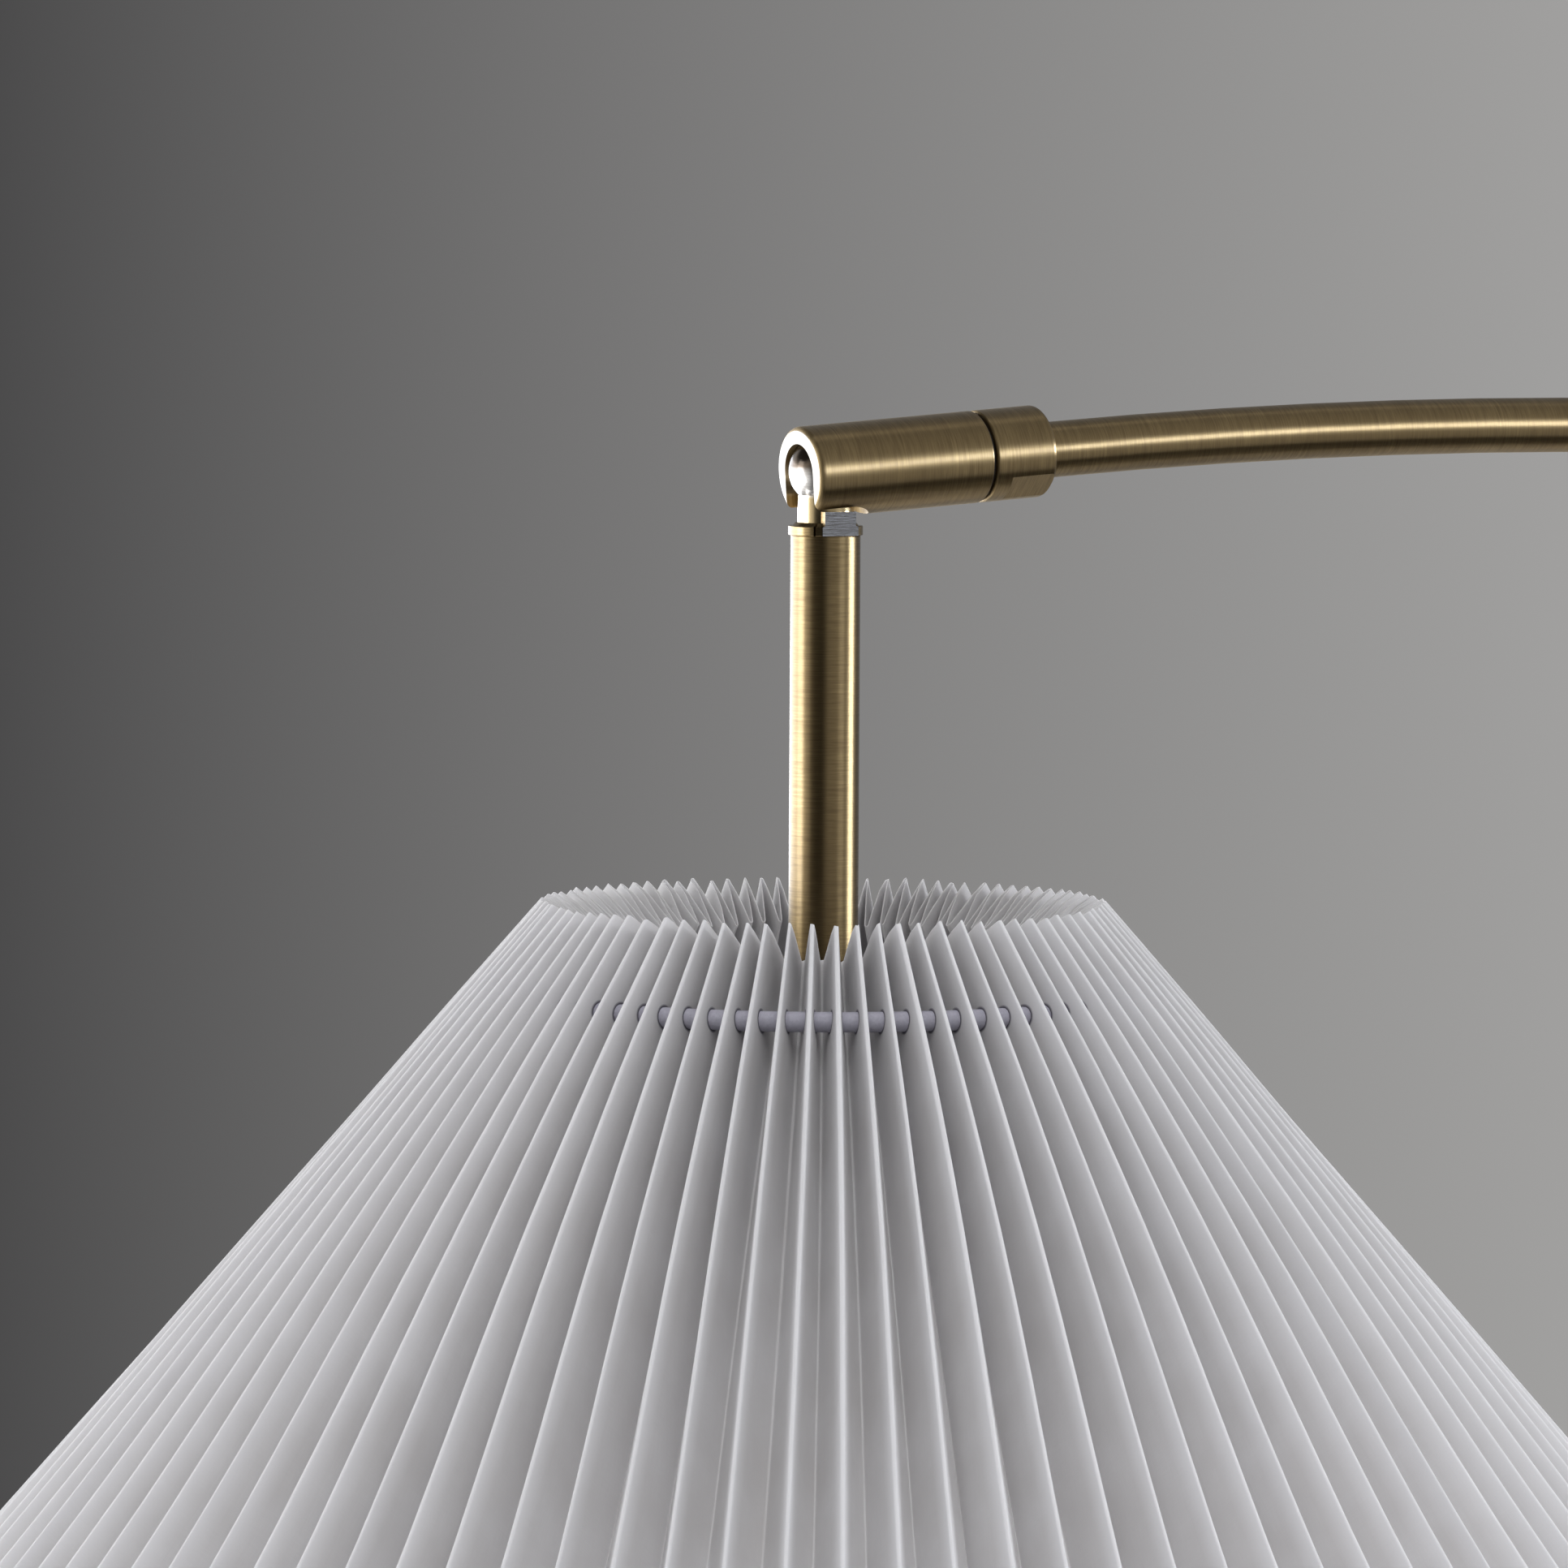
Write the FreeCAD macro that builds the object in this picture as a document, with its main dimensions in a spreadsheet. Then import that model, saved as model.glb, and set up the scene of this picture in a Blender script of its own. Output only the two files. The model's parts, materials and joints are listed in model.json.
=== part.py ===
import FreeCAD, Part
import Sketcher
import math
import os
import re

# Bridge floor lamp with a pleated shade hung from a ball joint at the end of an arched arm.
# Millimetres. +Z is up, the origin is the middle of the base's underside, the pole stands on
# the Z axis and the arm reaches towards -X.

V = FreeCAD.Vector
X_AXIS = V(1, 0, 0)
Y_AXIS = V(0, 1, 0)
Z_AXIS = V(0, 0, 1)

DRIVING_SIZES = {
    # base
    "base_radius": 137.5,
    "base_edge_top": 20,
    "base_cone_top": 26.6,
    "base_top": 29.2,
    "base_wall": 1.6,
    "felt_radius": 131,
    "felt_thickness": 3,
    "weight_radius": 134.5,
    "weight_top": 17.6,
    "nut_recess_radius": 22,
    "nut_recess_top": 11,
    "cord_exit_height": 9.3,
    "cord_bore_radius": 3.6,
    "nipple_radius": 5,
    "nipple_bore": 3.4,
    # pole
    "pole_radius": 9.5,
    "pole_wall": 1.2,
    "pole_start": 45,
    "foot_radius": 21,
    "foot_top": 62,
    "coupler_height": 688,
    "coupler_length": 12,
    "coupler_radius": 12,
    "spigot_length": 16,
    # swivel and knuckle on the pole's top
    "pivot_height": 1394,
    "cap_radius": 13,
    "stem_radius": 5,
    "fork_radius": 14.5,
    "fork_half_width": 12.5,
    "fork_gap_half": 7.2,
    "tongue_half": 6.4,
    "tongue_radius": 10.5,
    "root_radius": 9.4,
    "root_length": 40,
    "bolt_radius": 3,
    "knob_radius": 13,
    "knob_flutes": 10,
    # arm
    "reach": 500,
    "arm_radius": 6.45,
    "arm_wall": 1,
    "arm_slope": 4,
    "arm_root_slope": 9,
    "arm_head_run": 58,
    "arm_root_run": 45,
    # swivel housing, measured along the arm from the centre of the ball
    "housing_radius": 10.6,
    "housing_front": 7,
    "housing_rear": 38.4,
    "housing_edge": 1.4,
    "housing_bore": 8.6,
    "housing_bore_end": 27,
    "slot_half": 6.7,
    "slot_reach": 9.5,
    "groove": 0.9,
    "collar_length": 15.8,
    "flat_start": 4.2,
    "flat_depth": 0.7,
    "flat_angle": 48,
    "spindle_radius": 4.9,
    "spindle_bore": 2.8,
    # ball, stop ring and drop tube, measured down from the centre of the ball
    "ball_radius": 8.5,
    "neck_radius": 6.5,
    "ring_drop": 12.4,
    "ring_height": 2.2,
    "ring_radius": 8.55,
    "ring_flat": 7.2,
    "ring_slit": 0.5,
    "ring_slit_angle": 43,
    "tab_height": 3.3,
    "tab_width": 8,
    "tube_radius": 8,
    "tube_wall": 0.8,
    "tube_end": 112,
    # shade
    "rim_drop": 97.2,
    "rim_radius": 62.8,
    "shade_height": 158,
    "shade_half_angle": 41.15,
    "pleat_count": 88,
    "pleat_width": 15.3,
    "pleat_wall": 0.25,
    "carrier_drop": 120.5,
    "carrier_radius": 58.5,
    "carrier_wire": 1.9,
    "spoke_wire": 1.6,
    "spoke_count": 3,
    # lamp socket and bulb
    "socket_radius": 19.8,
    "socket_end": 152,
    "shell_radius": 14.2,
    "switch_drop": 140,
    "bulb_radius": 30,
    "bulb_centre": 204.5,
    "bulb_neck": 14,
    "bulb_base_radius": 13,
}

doc = FreeCAD.newDocument("bridge_floor_lamp")
sizes = doc.addObject("Spreadsheet::Sheet", "sizes")
for row, (alias, value) in enumerate(DRIVING_SIZES.items(), start=1):
    sizes.set(f"A{row}", alias)
    sizes.set(f"B{row}", str(value))
    sizes.setAlias(f"B{row}", alias)
doc.recompute()

pieces = []


def size(alias):
    """One driving dimension, read from the sheet."""
    return float(sizes.get(alias))


def formula(text):
    """A formula of plain aliases, written as the sheet's own cells."""
    return re.sub(r"\b([a-z]+_[a-z_]+|reach|groove)\b", r"sizes.\1", text)


def bind(obj, **formulas):
    """Tie an object's properties to the sheet."""
    for name, text in formulas.items():
        obj.setExpression(name, formula(str(text)))


def finished(obj, label, place=None):
    """Name a finished piece and put it where it belongs."""
    obj.Label = label
    if place is not None:
        obj.Placement = place
    pieces.append(obj)
    return obj


# ---------------------------------------------------------------- turned pieces


def origin_plane(body, role):
    return next(item for item in body.Origin.OriginFeatures if item.Role == role)


def outline_sketch(body, name, corners, plane="XZ_Plane"):
    """A closed outline whose corners are pairs of formulas, measured from the body's origin."""
    sketch = body.newObject("Sketcher::SketchObject", name)
    sketch.AttachmentSupport = [(origin_plane(body, plane), "")]
    sketch.MapMode = "FlatFace"
    count = len(corners)
    turn = 2 * math.pi / count
    start = [V(20 + 10 * math.cos(k * turn), 10 * math.sin(k * turn), 0) for k in range(count)]
    for k in range(count):
        sketch.addGeometry(Part.LineSegment(start[k], start[(k + 1) % count]), False)
    for k in range(count):
        sketch.addConstraint(Sketcher.Constraint("Coincident", k, 2, (k + 1) % count, 1))
    for k, corner in enumerate(corners):
        for kind, text in zip(("DistanceX", "DistanceY"), corner):
            index = sketch.addConstraint(Sketcher.Constraint(kind, -1, 1, k, 1, 1.0))
            sketch.setExpression(f"Constraints[{index}]", formula(str(text)))
    return sketch


def circle_edges(shape, corner):
    """Names of the round edges that one corner of the outline leaves on a turned solid."""
    names = []
    for number, edge in enumerate(shape.Edges, start=1):
        curve = edge.Curve
        if not isinstance(curve, Part.Circle):
            continue
        if abs(curve.Radius - corner.x) < 1e-4 and abs(curve.Center.z - corner.y) < 1e-4:
            names.append(f"Edge{number}")
    return names


def turned(name, corners, rounds=None):
    """A lathe-turned body: (radius, height) corners spun about Z, some corners rounded."""
    body = doc.addObject("PartDesign::Body", name)
    sketch = outline_sketch(body, name + "_outline", corners)
    feature = body.newObject("PartDesign::Revolution", name + "_turned")
    feature.Profile = sketch
    feature.ReferenceAxis = (sketch, ["V_Axis"])
    feature.Angle = 360
    sketch.Visibility = False
    doc.recompute()
    for index, radius in (rounds or {}).items():
        corner = sketch.Geometry[index].StartPoint
        edges = circle_edges(feature.Shape, corner)
        fillet = body.newObject("PartDesign::Fillet", f"{name}_round{index}")
        fillet.Base = (feature, edges)
        bind(fillet, Radius=radius)
        doc.recompute()
        feature = fillet
    return body


def sleeve(name, outer, inner, low, high, rounds=None):
    """A tube, ring or washer between two heights."""
    corners = [(inner, low), (outer, low), (outer, high), (inner, high)]
    return turned(name, corners, rounds)


# ---------------------------------------------------------------- solids put together


UPRIGHT = FreeCAD.Rotation()
ALONG_X = FreeCAD.Rotation(Y_AXIS, 90)
ALONG_MINUS_Y = FreeCAD.Rotation(X_AXIS, 90)


def solid(kind, name, x="0", y="0", z="0", turn=UPRIGHT, **formulas):
    """A primitive whose sizes and place come from the sheet, turned about its own corner."""
    obj = doc.addObject(kind, name)
    bind(obj, **formulas)
    obj.Placement = FreeCAD.Placement(V(0, 0, 0), turn)
    for key, text in (("x", x), ("y", y), ("z", z)):
        obj.setExpression(f".Placement.Base.{key}", formula(str(text)))
    return obj


def box(name, low, spans, turn=UPRIGHT):
    """A box from its lowest corner and its three spans."""
    length, width, height = spans
    return solid("Part::Box", name, *low, turn, Length=length, Width=width, Height=height)


def cylinder(name, radius, height, x="0", y="0", z="0", turn=UPRIGHT):
    return solid("Part::Cylinder", name, x, y, z, turn, Radius=radius, Height=height)


def fuse(name, *shapes):
    obj = doc.addObject("Part::MultiFuse", name)
    obj.Shapes = list(shapes)
    return obj


def cut(name, base, *tools):
    obj = doc.addObject("Part::Cut", name)
    obj.Base = base
    obj.Tool = tools[0] if len(tools) == 1 else fuse(name + "_tools", *tools)
    return obj


def common(name, first, second):
    obj = doc.addObject("Part::MultiCommon", name)
    obj.Shapes = [first, second]
    return obj


def rounded(name, base, radius, wanted):
    """Round the edges of a solid that the test picks out."""
    doc.recompute()
    obj = doc.addObject("Part::Fillet", name)
    obj.Base = base
    edges = base.Shape.Edges
    obj.Edges = [(k + 1, radius, radius) for k, edge in enumerate(edges) if wanted(edge)]
    return obj


def hex_nut(name, corner_radius, bore, low, height):
    """A six-sided nut."""
    prism = solid("Part::Prism", name + "_prism", z=low, Circumradius=corner_radius, Height=height)
    prism.Polygon = 6
    hole = cylinder(name + "_hole", bore, f"({height}) + 2", z=f"({low}) - 1")
    return cut(name, prism, hole)


# ---------------------------------------------------------------- lines of the lamp

ARM_SLOPE = math.radians(size("arm_slope"))
ROOT_SLOPE = math.radians(size("arm_root_slope"))


def arm_bend_radius():
    """Radius of the arc that joins the straight run at the head to the one at the pole."""
    runs = size("arm_head_run") * math.cos(ARM_SLOPE) + size("arm_root_run") * math.cos(ROOT_SLOPE)
    return (size("reach") - runs) / (math.sin(ARM_SLOPE) + math.sin(ROOT_SLOPE))


def arm_points():
    """Pivot, end of the root run, top of the arc, start of the head run, centre of the ball."""
    radius = arm_bend_radius()
    pivot = V(0, 0, size("pivot_height"))
    towards_head = V(-math.cos(ROOT_SLOPE), 0, math.sin(ROOT_SLOPE))
    root_end = pivot + towards_head * size("arm_root_run")
    centre = root_end + V(-math.sin(ROOT_SLOPE), 0, -math.cos(ROOT_SLOPE)) * radius
    arc_top = centre + Z_AXIS * radius
    head_start = centre + V(-math.sin(ARM_SLOPE), 0, math.cos(ARM_SLOPE)) * radius
    ball = head_start + V(-math.cos(ARM_SLOPE), 0, -math.sin(ARM_SLOPE)) * size("arm_head_run")
    return pivot, root_end, arc_top, head_start, ball


PIVOT, ROOT_END, ARC_TOP, HEAD_START, BALL = arm_points()

# Housing pieces are drawn with local Z along the arm towards the pole and local X downwards.
HEAD_PLACE = FreeCAD.Placement(BALL, FreeCAD.Rotation(Y_AXIS, 90 - size("arm_slope")))
# What hangs from the ball is drawn with local Z up and its origin at the ball's centre.
DROP_PLACE = FreeCAD.Placement(BALL, UPRIGHT)
PIVOT_PLACE = FreeCAD.Placement(PIVOT, UPRIGHT)
# The arm root is drawn with local Z along the arm towards the head and local X downwards.
ROOT_PLACE = FreeCAD.Placement(PIVOT, FreeCAD.Rotation(Y_AXIS, size("arm_root_slope") - 90))
# Bolt and knob are drawn with local Z towards -Y.
BOLT_PLACE = FreeCAD.Placement(PIVOT, ALONG_MINUS_Y)


# ---------------------------------------------------------------- base


def make_base():
    """Felt, cast weight and spun cover, held together by a threaded nipple and its nut."""
    felt = cylinder("felt_disc", "felt_radius", "felt_thickness")
    finished(felt, "base_felt")

    weight = turned("weight_disc", [
        ("nut_recess_radius", "felt_thickness"),
        ("weight_radius", "felt_thickness"),
        ("weight_radius", "weight_top - 5"),
        ("weight_radius - 5", "weight_top"),
        ("foot_radius + 9", "weight_top"),
        ("foot_radius + 7", "weight_top + 6"),
        ("nipple_radius + 1.2", "weight_top + 6"),
        ("nipple_radius + 1.2", "nut_recess_top"),
        ("nut_recess_radius", "nut_recess_top"),
    ])
    channel = box("cord_channel", ("0", "-6.5", "felt_thickness - 1"),
                  ("weight_radius + 1", "13", "cord_exit_height + 6.5 - felt_thickness"))
    finished(cut("weight_casting", weight, channel), "base_weight")

    cover = turned("cover_shell", [
        ("base_radius", "2"),
        ("base_radius", "base_edge_top"),
        ("foot_radius + 12", "base_cone_top"),
        ("foot_radius + 9", "base_top"),
        ("nipple_radius + 1.3", "base_top"),
        ("nipple_radius + 1.3", "base_top - base_wall"),
        ("foot_radius + 8.2", "base_top - base_wall"),
        ("foot_radius + 11.2", "base_cone_top - base_wall"),
        ("base_radius - base_wall", "base_edge_top - base_wall"),
        ("base_radius - base_wall", "2"),
    ], {1: "6", 8: "4.4", 3: "1.5"})
    exit_hole = cylinder("cord_exit_hole", "5.6", "20", x="base_radius - 12",
                         z="cord_exit_height", turn=ALONG_X)
    finished(cut("cover_drilled", cover, exit_hole), "base_cover")

    bushing = turned("bushing_turned", [
        ("cord_bore_radius", "-10"),
        ("5.4", "-10"),
        ("5.4", "0.25"),
        ("7.4", "0.25"),
        ("7.4", "1.9"),
        ("6", "2.8"),
        ("cord_bore_radius", "2.8"),
    ], {4: "0.6"})
    exit_point = V(size("base_radius"), 0, size("cord_exit_height"))
    finished(bushing, "cord_bushing", FreeCAD.Placement(exit_point, ALONG_X))

    nipple = sleeve("nipple_tube", "nipple_radius", "nipple_bore", "4.6", "pole_start + 15")
    finished(nipple, "base_nipple")
    washer = sleeve("base_washer_ring", "15", "nipple_radius + 0.2", "nut_recess_top - 1.5",
                    "nut_recess_top")
    finished(washer, "base_washer")
    finished(hex_nut("base_nut_hex", "9.8", "nipple_radius + 0.02", "nut_recess_top - 6.3", "4.7"),
             "base_nut")


# ---------------------------------------------------------------- pole


def make_pole():
    """Foot, plug, two tubes and the coupler that joins them."""
    foot = turned("foot_turned", [
        ("nipple_radius + 0.05", "base_top"),
        ("foot_radius", "base_top"),
        ("foot_radius", "base_top + 5"),
        ("foot_radius - 3.5", "base_top + 7.5"),
        ("pole_radius + 3.4", "pole_start + 3"),
        ("pole_radius + 2.6", "foot_top"),
        ("pole_radius + 0.05", "foot_top"),
        ("pole_radius + 0.05", "pole_start"),
        ("nipple_radius + 0.05", "pole_start"),
    ], {2: "1.5", 3: "2", 4: "14", 5: "1"})
    finished(foot, "pole_foot")

    inner = "pole_radius - pole_wall"
    plug = sleeve("plug_turned", inner + " - 0.05", "nipple_radius + 0.02", "pole_start + 0.5",
                  "pole_start + 13")
    finished(plug, "pole_plug")
    lower = sleeve("lower_tube", "pole_radius", inner, "pole_start + 0.1", "coupler_height")
    finished(lower, "pole_lower")

    spigot = inner + " - 0.05"
    top = "coupler_height + coupler_length"
    coupler = turned("coupler_turned", [
        ("nipple_radius", "coupler_height - spigot_length"),
        (spigot, "coupler_height - spigot_length"),
        (spigot, "coupler_height"),
        ("coupler_radius", "coupler_height"),
        ("coupler_radius", top),
        (spigot, top),
        (spigot, top + " + spigot_length"),
        ("nipple_radius", top + " + spigot_length"),
    ], {3: "2.2", 4: "2.2"})
    finished(coupler, "pole_coupler")
    upper = sleeve("upper_tube", "pole_radius", inner, top, "pivot_height - 50")
    finished(upper, "pole_upper")

    cap = turned("cap_turned", [
        ("stem_radius + 0.06", "-66"),
        (spigot, "-66"),
        (spigot, "-50"),
        ("cap_radius", "-50"),
        ("cap_radius", "-44.5"),
        ("cap_radius - 1.5", "-42"),
        ("stem_radius + 0.06", "-42"),
    ], {3: "1", 4: "1.5"})
    finished(cap, "pole_cap", PIVOT_PLACE)


# ---------------------------------------------------------------- swivel and knuckle


def make_swivel():
    """The fork turns on the pole's cap; its stem is held by a spring and a nut."""
    washer = sleeve("swivel_washer_ring", "cap_radius - 1.8", "stem_radius + 0.3", "-42", "-41")
    finished(washer, "swivel_washer", PIVOT_PLACE)

    barrel = turned("fork_barrel", [
        ("2.6", "-78"),
        ("stem_radius", "-78"),
        ("stem_radius", "-41"),
        ("cap_radius - 1", "-41"),
        ("cap_radius - 1", "-38"),
        ("fork_radius", "-33"),
        ("fork_radius", "-17"),
        ("2.6", "-17"),
    ], {3: "0.8", 4: "3", 5: "3"})
    disc = cylinder("cheek_disc", "fork_radius - 3.5", "2 * fork_half_width",
                    y="fork_half_width", turn=ALONG_MINUS_Y)
    block = box("cheek_block", ("3.5 - fork_radius", "-fork_half_width", "-20"),
                ("2 * fork_radius - 7", "2 * fork_half_width", "20"))
    round_limit = cylinder("cheek_limit", "fork_radius", "40", z="-20")
    cheeks = common("cheeks", fuse("cheek_blank", disc, block), round_limit)
    gap = box("fork_gap", ("-fork_radius - 1", "-fork_gap_half", "-16.5"),
              ("2 * fork_radius + 2", "2 * fork_gap_half", "40"))
    bore = cylinder("fork_bore", "bolt_radius + 0.1", "40", y="20", turn=ALONG_MINUS_Y)
    fork = cut("fork_solid", fuse("fork_blank", barrel, cheeks), gap, bore)

    def cheek_rim(edge):
        """Curved and straight outside edges of the two cheeks."""
        middle = edge.valueAt((edge.FirstParameter + edge.LastParameter) / 2)
        return middle.z > -10 and abs(middle.y) > size("fork_gap_half") + 1 and edge.Length > 6

    finished(rounded("fork_rounded", fork, 0.8, cheek_rim), "swivel_fork", PIVOT_PLACE)

    spring = turned("swivel_spring_cone", [
        ("stem_radius + 0.2", "-67.1"),
        ("stem_radius + 0.2", "-66.1"),
        ("pole_radius - pole_wall - 0.25", "-68.5"),
        ("pole_radius - pole_wall - 0.25", "-69.5"),
    ])
    finished(spring, "swivel_spring", PIVOT_PLACE)
    nut = hex_nut("swivel_nut_hex", "8.05", "stem_radius + 0.02", "-75", "5.4")
    finished(nut, "swivel_nut", PIVOT_PLACE)


def make_knuckle():
    """The arm root tilts between the fork's cheeks and is clamped by a knob on a bolt."""
    tongue = cylinder("tongue_disc", "tongue_radius", "2 * tongue_half", y="tongue_half",
                      turn=ALONG_MINUS_Y)
    bridge = box("tongue_bridge", ("1.5 - tongue_radius", "-tongue_half", "0"),
                 ("2 * tongue_radius - 3", "2 * tongue_half", "17"))
    barrel = turned("root_barrel", [
        ("0", "14"),
        ("root_radius - 2", "14"),
        ("root_radius", "17"),
        ("root_radius", "root_length"),
        ("0", "root_length"),
    ], {2: "2", 3: "1"})
    arm_bore = cylinder("arm_bore", "arm_radius + 0.04", "root_length", z="18")
    wire_bore = cylinder("root_wire_bore", "2.6", "14", z="7")
    wire_drop = cylinder("root_wire_drop", "2.6", "12", z="8", turn=ALONG_X)
    bolt_bore = cylinder("root_bolt_bore", "bolt_radius + 0.1", "20", y="10", turn=ALONG_MINUS_Y)
    blank = fuse("root_blank", tongue, bridge, barrel)
    root = cut("root_solid", blank, arm_bore, wire_bore, wire_drop, bolt_bore)
    finished(root, "arm_root", ROOT_PLACE)

    low = sleeve("low_tilt_washer", "9", "bolt_radius + 0.15", "-fork_gap_half + 0.04",
                 "-tongue_half - 0.04")
    high = sleeve("high_tilt_washer", "9", "bolt_radius + 0.15", "tongue_half + 0.04",
                  "fork_gap_half - 0.04")
    washers = doc.addObject("Part::Compound", "tilt_washer_pair")
    washers.Links = [low, high]
    finished(washers, "tilt_washers", BOLT_PLACE)

    bolt = turned("bolt_turned", [
        ("0", "-17"),
        ("4", "-17"),
        ("7.5", "-15"),
        ("7.5", "-fork_half_width - 0.1"),
        ("bolt_radius", "-fork_half_width - 0.1"),
        ("bolt_radius", "25"),
        ("0", "25"),
    ], {1: "3", 2: "1"})
    finished(bolt, "tilt_bolt", BOLT_PLACE)
    washer = sleeve("knob_washer_ring", "7", "bolt_radius + 0.1", "fork_half_width + 0.05", "13.6")
    finished(washer, "knob_washer", BOLT_PLACE)
    make_clamp_knob()


def make_clamp_knob():
    """A fluted knob with a blind threaded hole for the bolt."""
    knob = turned("clamp_knob_body", [
        ("bolt_radius + 0.05", "13.7"),
        ("6.5", "13.7"),
        ("6.5", "17"),
        ("knob_radius", "17"),
        ("knob_radius", "26.5"),
        ("knob_radius - 2.5", "28"),
        ("0", "28"),
        ("0", "25.2"),
        ("bolt_radius + 0.05", "25.2"),
    ], {3: "1", 4: "0.8"})
    flute = outline_circle(knob, "flute_outline", "knob_radius + 1.8", "3")
    pocket = knob.newObject("PartDesign::Pocket", "flute")
    pocket.Profile = flute
    pocket.Type = 1
    pocket.Midplane = True
    doc.recompute()
    pattern = knob.newObject("PartDesign::PolarPattern", "flutes")
    pattern.Originals = [pocket]
    pattern.Axis = (flute, ["N_Axis"])
    pattern.Angle = 360
    pattern.Occurrences = int(size("knob_flutes"))
    knob.Tip = pattern
    finished(knob, "clamp_knob", BOLT_PLACE)


def outline_circle(body, name, distance, radius):
    """A circle on the XY plane, its centre some way out along X."""
    sketch = body.newObject("Sketcher::SketchObject", name)
    sketch.AttachmentSupport = [(origin_plane(body, "XY_Plane"), "")]
    sketch.MapMode = "FlatFace"
    sketch.addGeometry(Part.Circle(V(10, 0, 0), Z_AXIS, 1), False)
    across = sketch.addConstraint(Sketcher.Constraint("DistanceX", -1, 1, 0, 3, 10.0))
    sketch.addConstraint(Sketcher.Constraint("PointOnObject", 0, 3, -1))
    wide = sketch.addConstraint(Sketcher.Constraint("Radius", 0, 1.0))
    sketch.setExpression(f"Constraints[{across}]", formula(distance))
    sketch.setExpression(f"Constraints[{wide}]", formula(radius))
    return sketch


# ---------------------------------------------------------------- arm


def make_arm():
    """A bent tube: straight in the root, a long arc, straight again in the end collar."""
    into_root = (ROOT_END - PIVOT).normalize()
    start = PIVOT + into_root * 18.2
    into_head = (BALL - HEAD_START).normalize()
    collar_depth = size("housing_rear") + size("groove") + 8
    end = BALL - into_head * collar_depth
    path = Part.Wire([
        Part.LineSegment(start, ROOT_END).toShape(),
        Part.Arc(ROOT_END, ARC_TOP, HEAD_START).toShape(),
        Part.LineSegment(HEAD_START, end).toShape(),
    ])

    def swept(radius):
        ring = Part.Wire(Part.makeCircle(radius, start, into_root))
        return path.makePipeShell([ring], True, True)

    shape = swept(size("arm_radius")).cut(swept(size("arm_radius") - size("arm_wall")))
    length = path.Length
    wall_area = math.pi * (size("arm_radius") ** 2 - (size("arm_radius") - size("arm_wall")) ** 2)
    print(f"arm: bend radius {arm_bend_radius():.0f}, length {length:.1f}, "
          f"volume {shape.Volume:.0f} against {wall_area * length:.0f}")
    tube = doc.addObject("Part::Feature", "arm_bent_tube")
    tube.Shape = shape
    finished(tube, "arm_tube")


# ---------------------------------------------------------------- head


def make_housing():
    """A cylinder bored for the ball, with a slot through its end face and its underside."""
    outside = turned("housing_blank", [
        ("0", "-housing_front"),
        ("housing_radius", "-housing_front"),
        ("housing_radius", "housing_rear"),
        ("0", "housing_rear"),
    ], {1: "housing_edge", 2: "0.5"})
    ball_space = solid("Part::Sphere", "ball_space", Radius="housing_bore")
    bore = cylinder("housing_bore_hole", "housing_bore", "housing_bore_end")
    spindle_hole = cylinder("spindle_hole", "spindle_radius + 0.06", "housing_rear + 1")
    arch = cylinder("end_arch", "slot_half", "housing_front + 1", z="-housing_front - 1")
    slot = box("slot_box", ("0", "-slot_half", "-housing_front - 1"),
               ("housing_radius + 1", "2 * slot_half", "housing_front + 1 + slot_reach - slot_half"))
    slot_end = cylinder("slot_end", "slot_half", "housing_radius + 1", z="slot_reach - slot_half",
                        turn=ALONG_X)
    housing = cut("housing_solid", outside, ball_space, bore, spindle_hole, arch, slot, slot_end)
    finished(housing, "swivel_housing", HEAD_PLACE)


def make_housing_inside():
    """What presses on the ball, and what lets the housing turn on the arm."""
    cup = cylinder("seat_cup", "housing_bore - 0.1", "8", z="4.2")
    hollow = solid("Part::Sphere", "seat_hollow", Radius="ball_radius + 0.06")
    wire_hole = cylinder("seat_wire_hole", "4", "20")
    notch = box("seat_notch", ("0", "-slot_half - 0.4", "0"), ("12", "2 * slot_half + 0.8", "10.3"))
    seat = cut("seat_solid", cup, hollow, wire_hole, notch)
    finished(seat, "ball_seat", HEAD_PLACE)

    spring = turned("disc_spring_cone", [
        ("4.4", "12.3"),
        ("housing_bore - 0.4", "13.4"),
        ("housing_bore - 0.4", "14.1"),
        ("4.4", "13"),
    ])
    finished(spring, "disc_spring", HEAD_PLACE)

    ring = sleeve("pressure_ring_blank", "housing_bore - 0.05", "4.4", "14.2", "18.2")
    key_slot = box("pressure_key_slot", ("-10", "-1", "17"), ("20", "2", "2"))
    finished(cut("pressure_ring_slotted", ring, key_slot), "pressure_ring", HEAD_PLACE)

    nut = hex_nut("roll_nut_hex", "7.6", "spindle_radius + 0.02", "21", "5")
    finished(nut, "roll_nut", HEAD_PLACE)
    washer = sleeve("roll_washer_ring", "7.8", "spindle_radius + 0.15", "26.05", "26.95")
    finished(washer, "roll_washer", HEAD_PLACE)
    collar_start = "housing_rear + groove"
    spindle = sleeve("spindle_tube", "spindle_radius", "spindle_bore", "20", collar_start + " + 7.5")
    finished(spindle, "roll_spindle", HEAD_PLACE)
    gap_washer = sleeve("groove_washer_ring", "housing_radius - 1.3", "spindle_radius + 0.1",
                        "housing_rear + 0.05", collar_start + " - 0.05")
    finished(gap_washer, "groove_washer", HEAD_PLACE)


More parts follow.
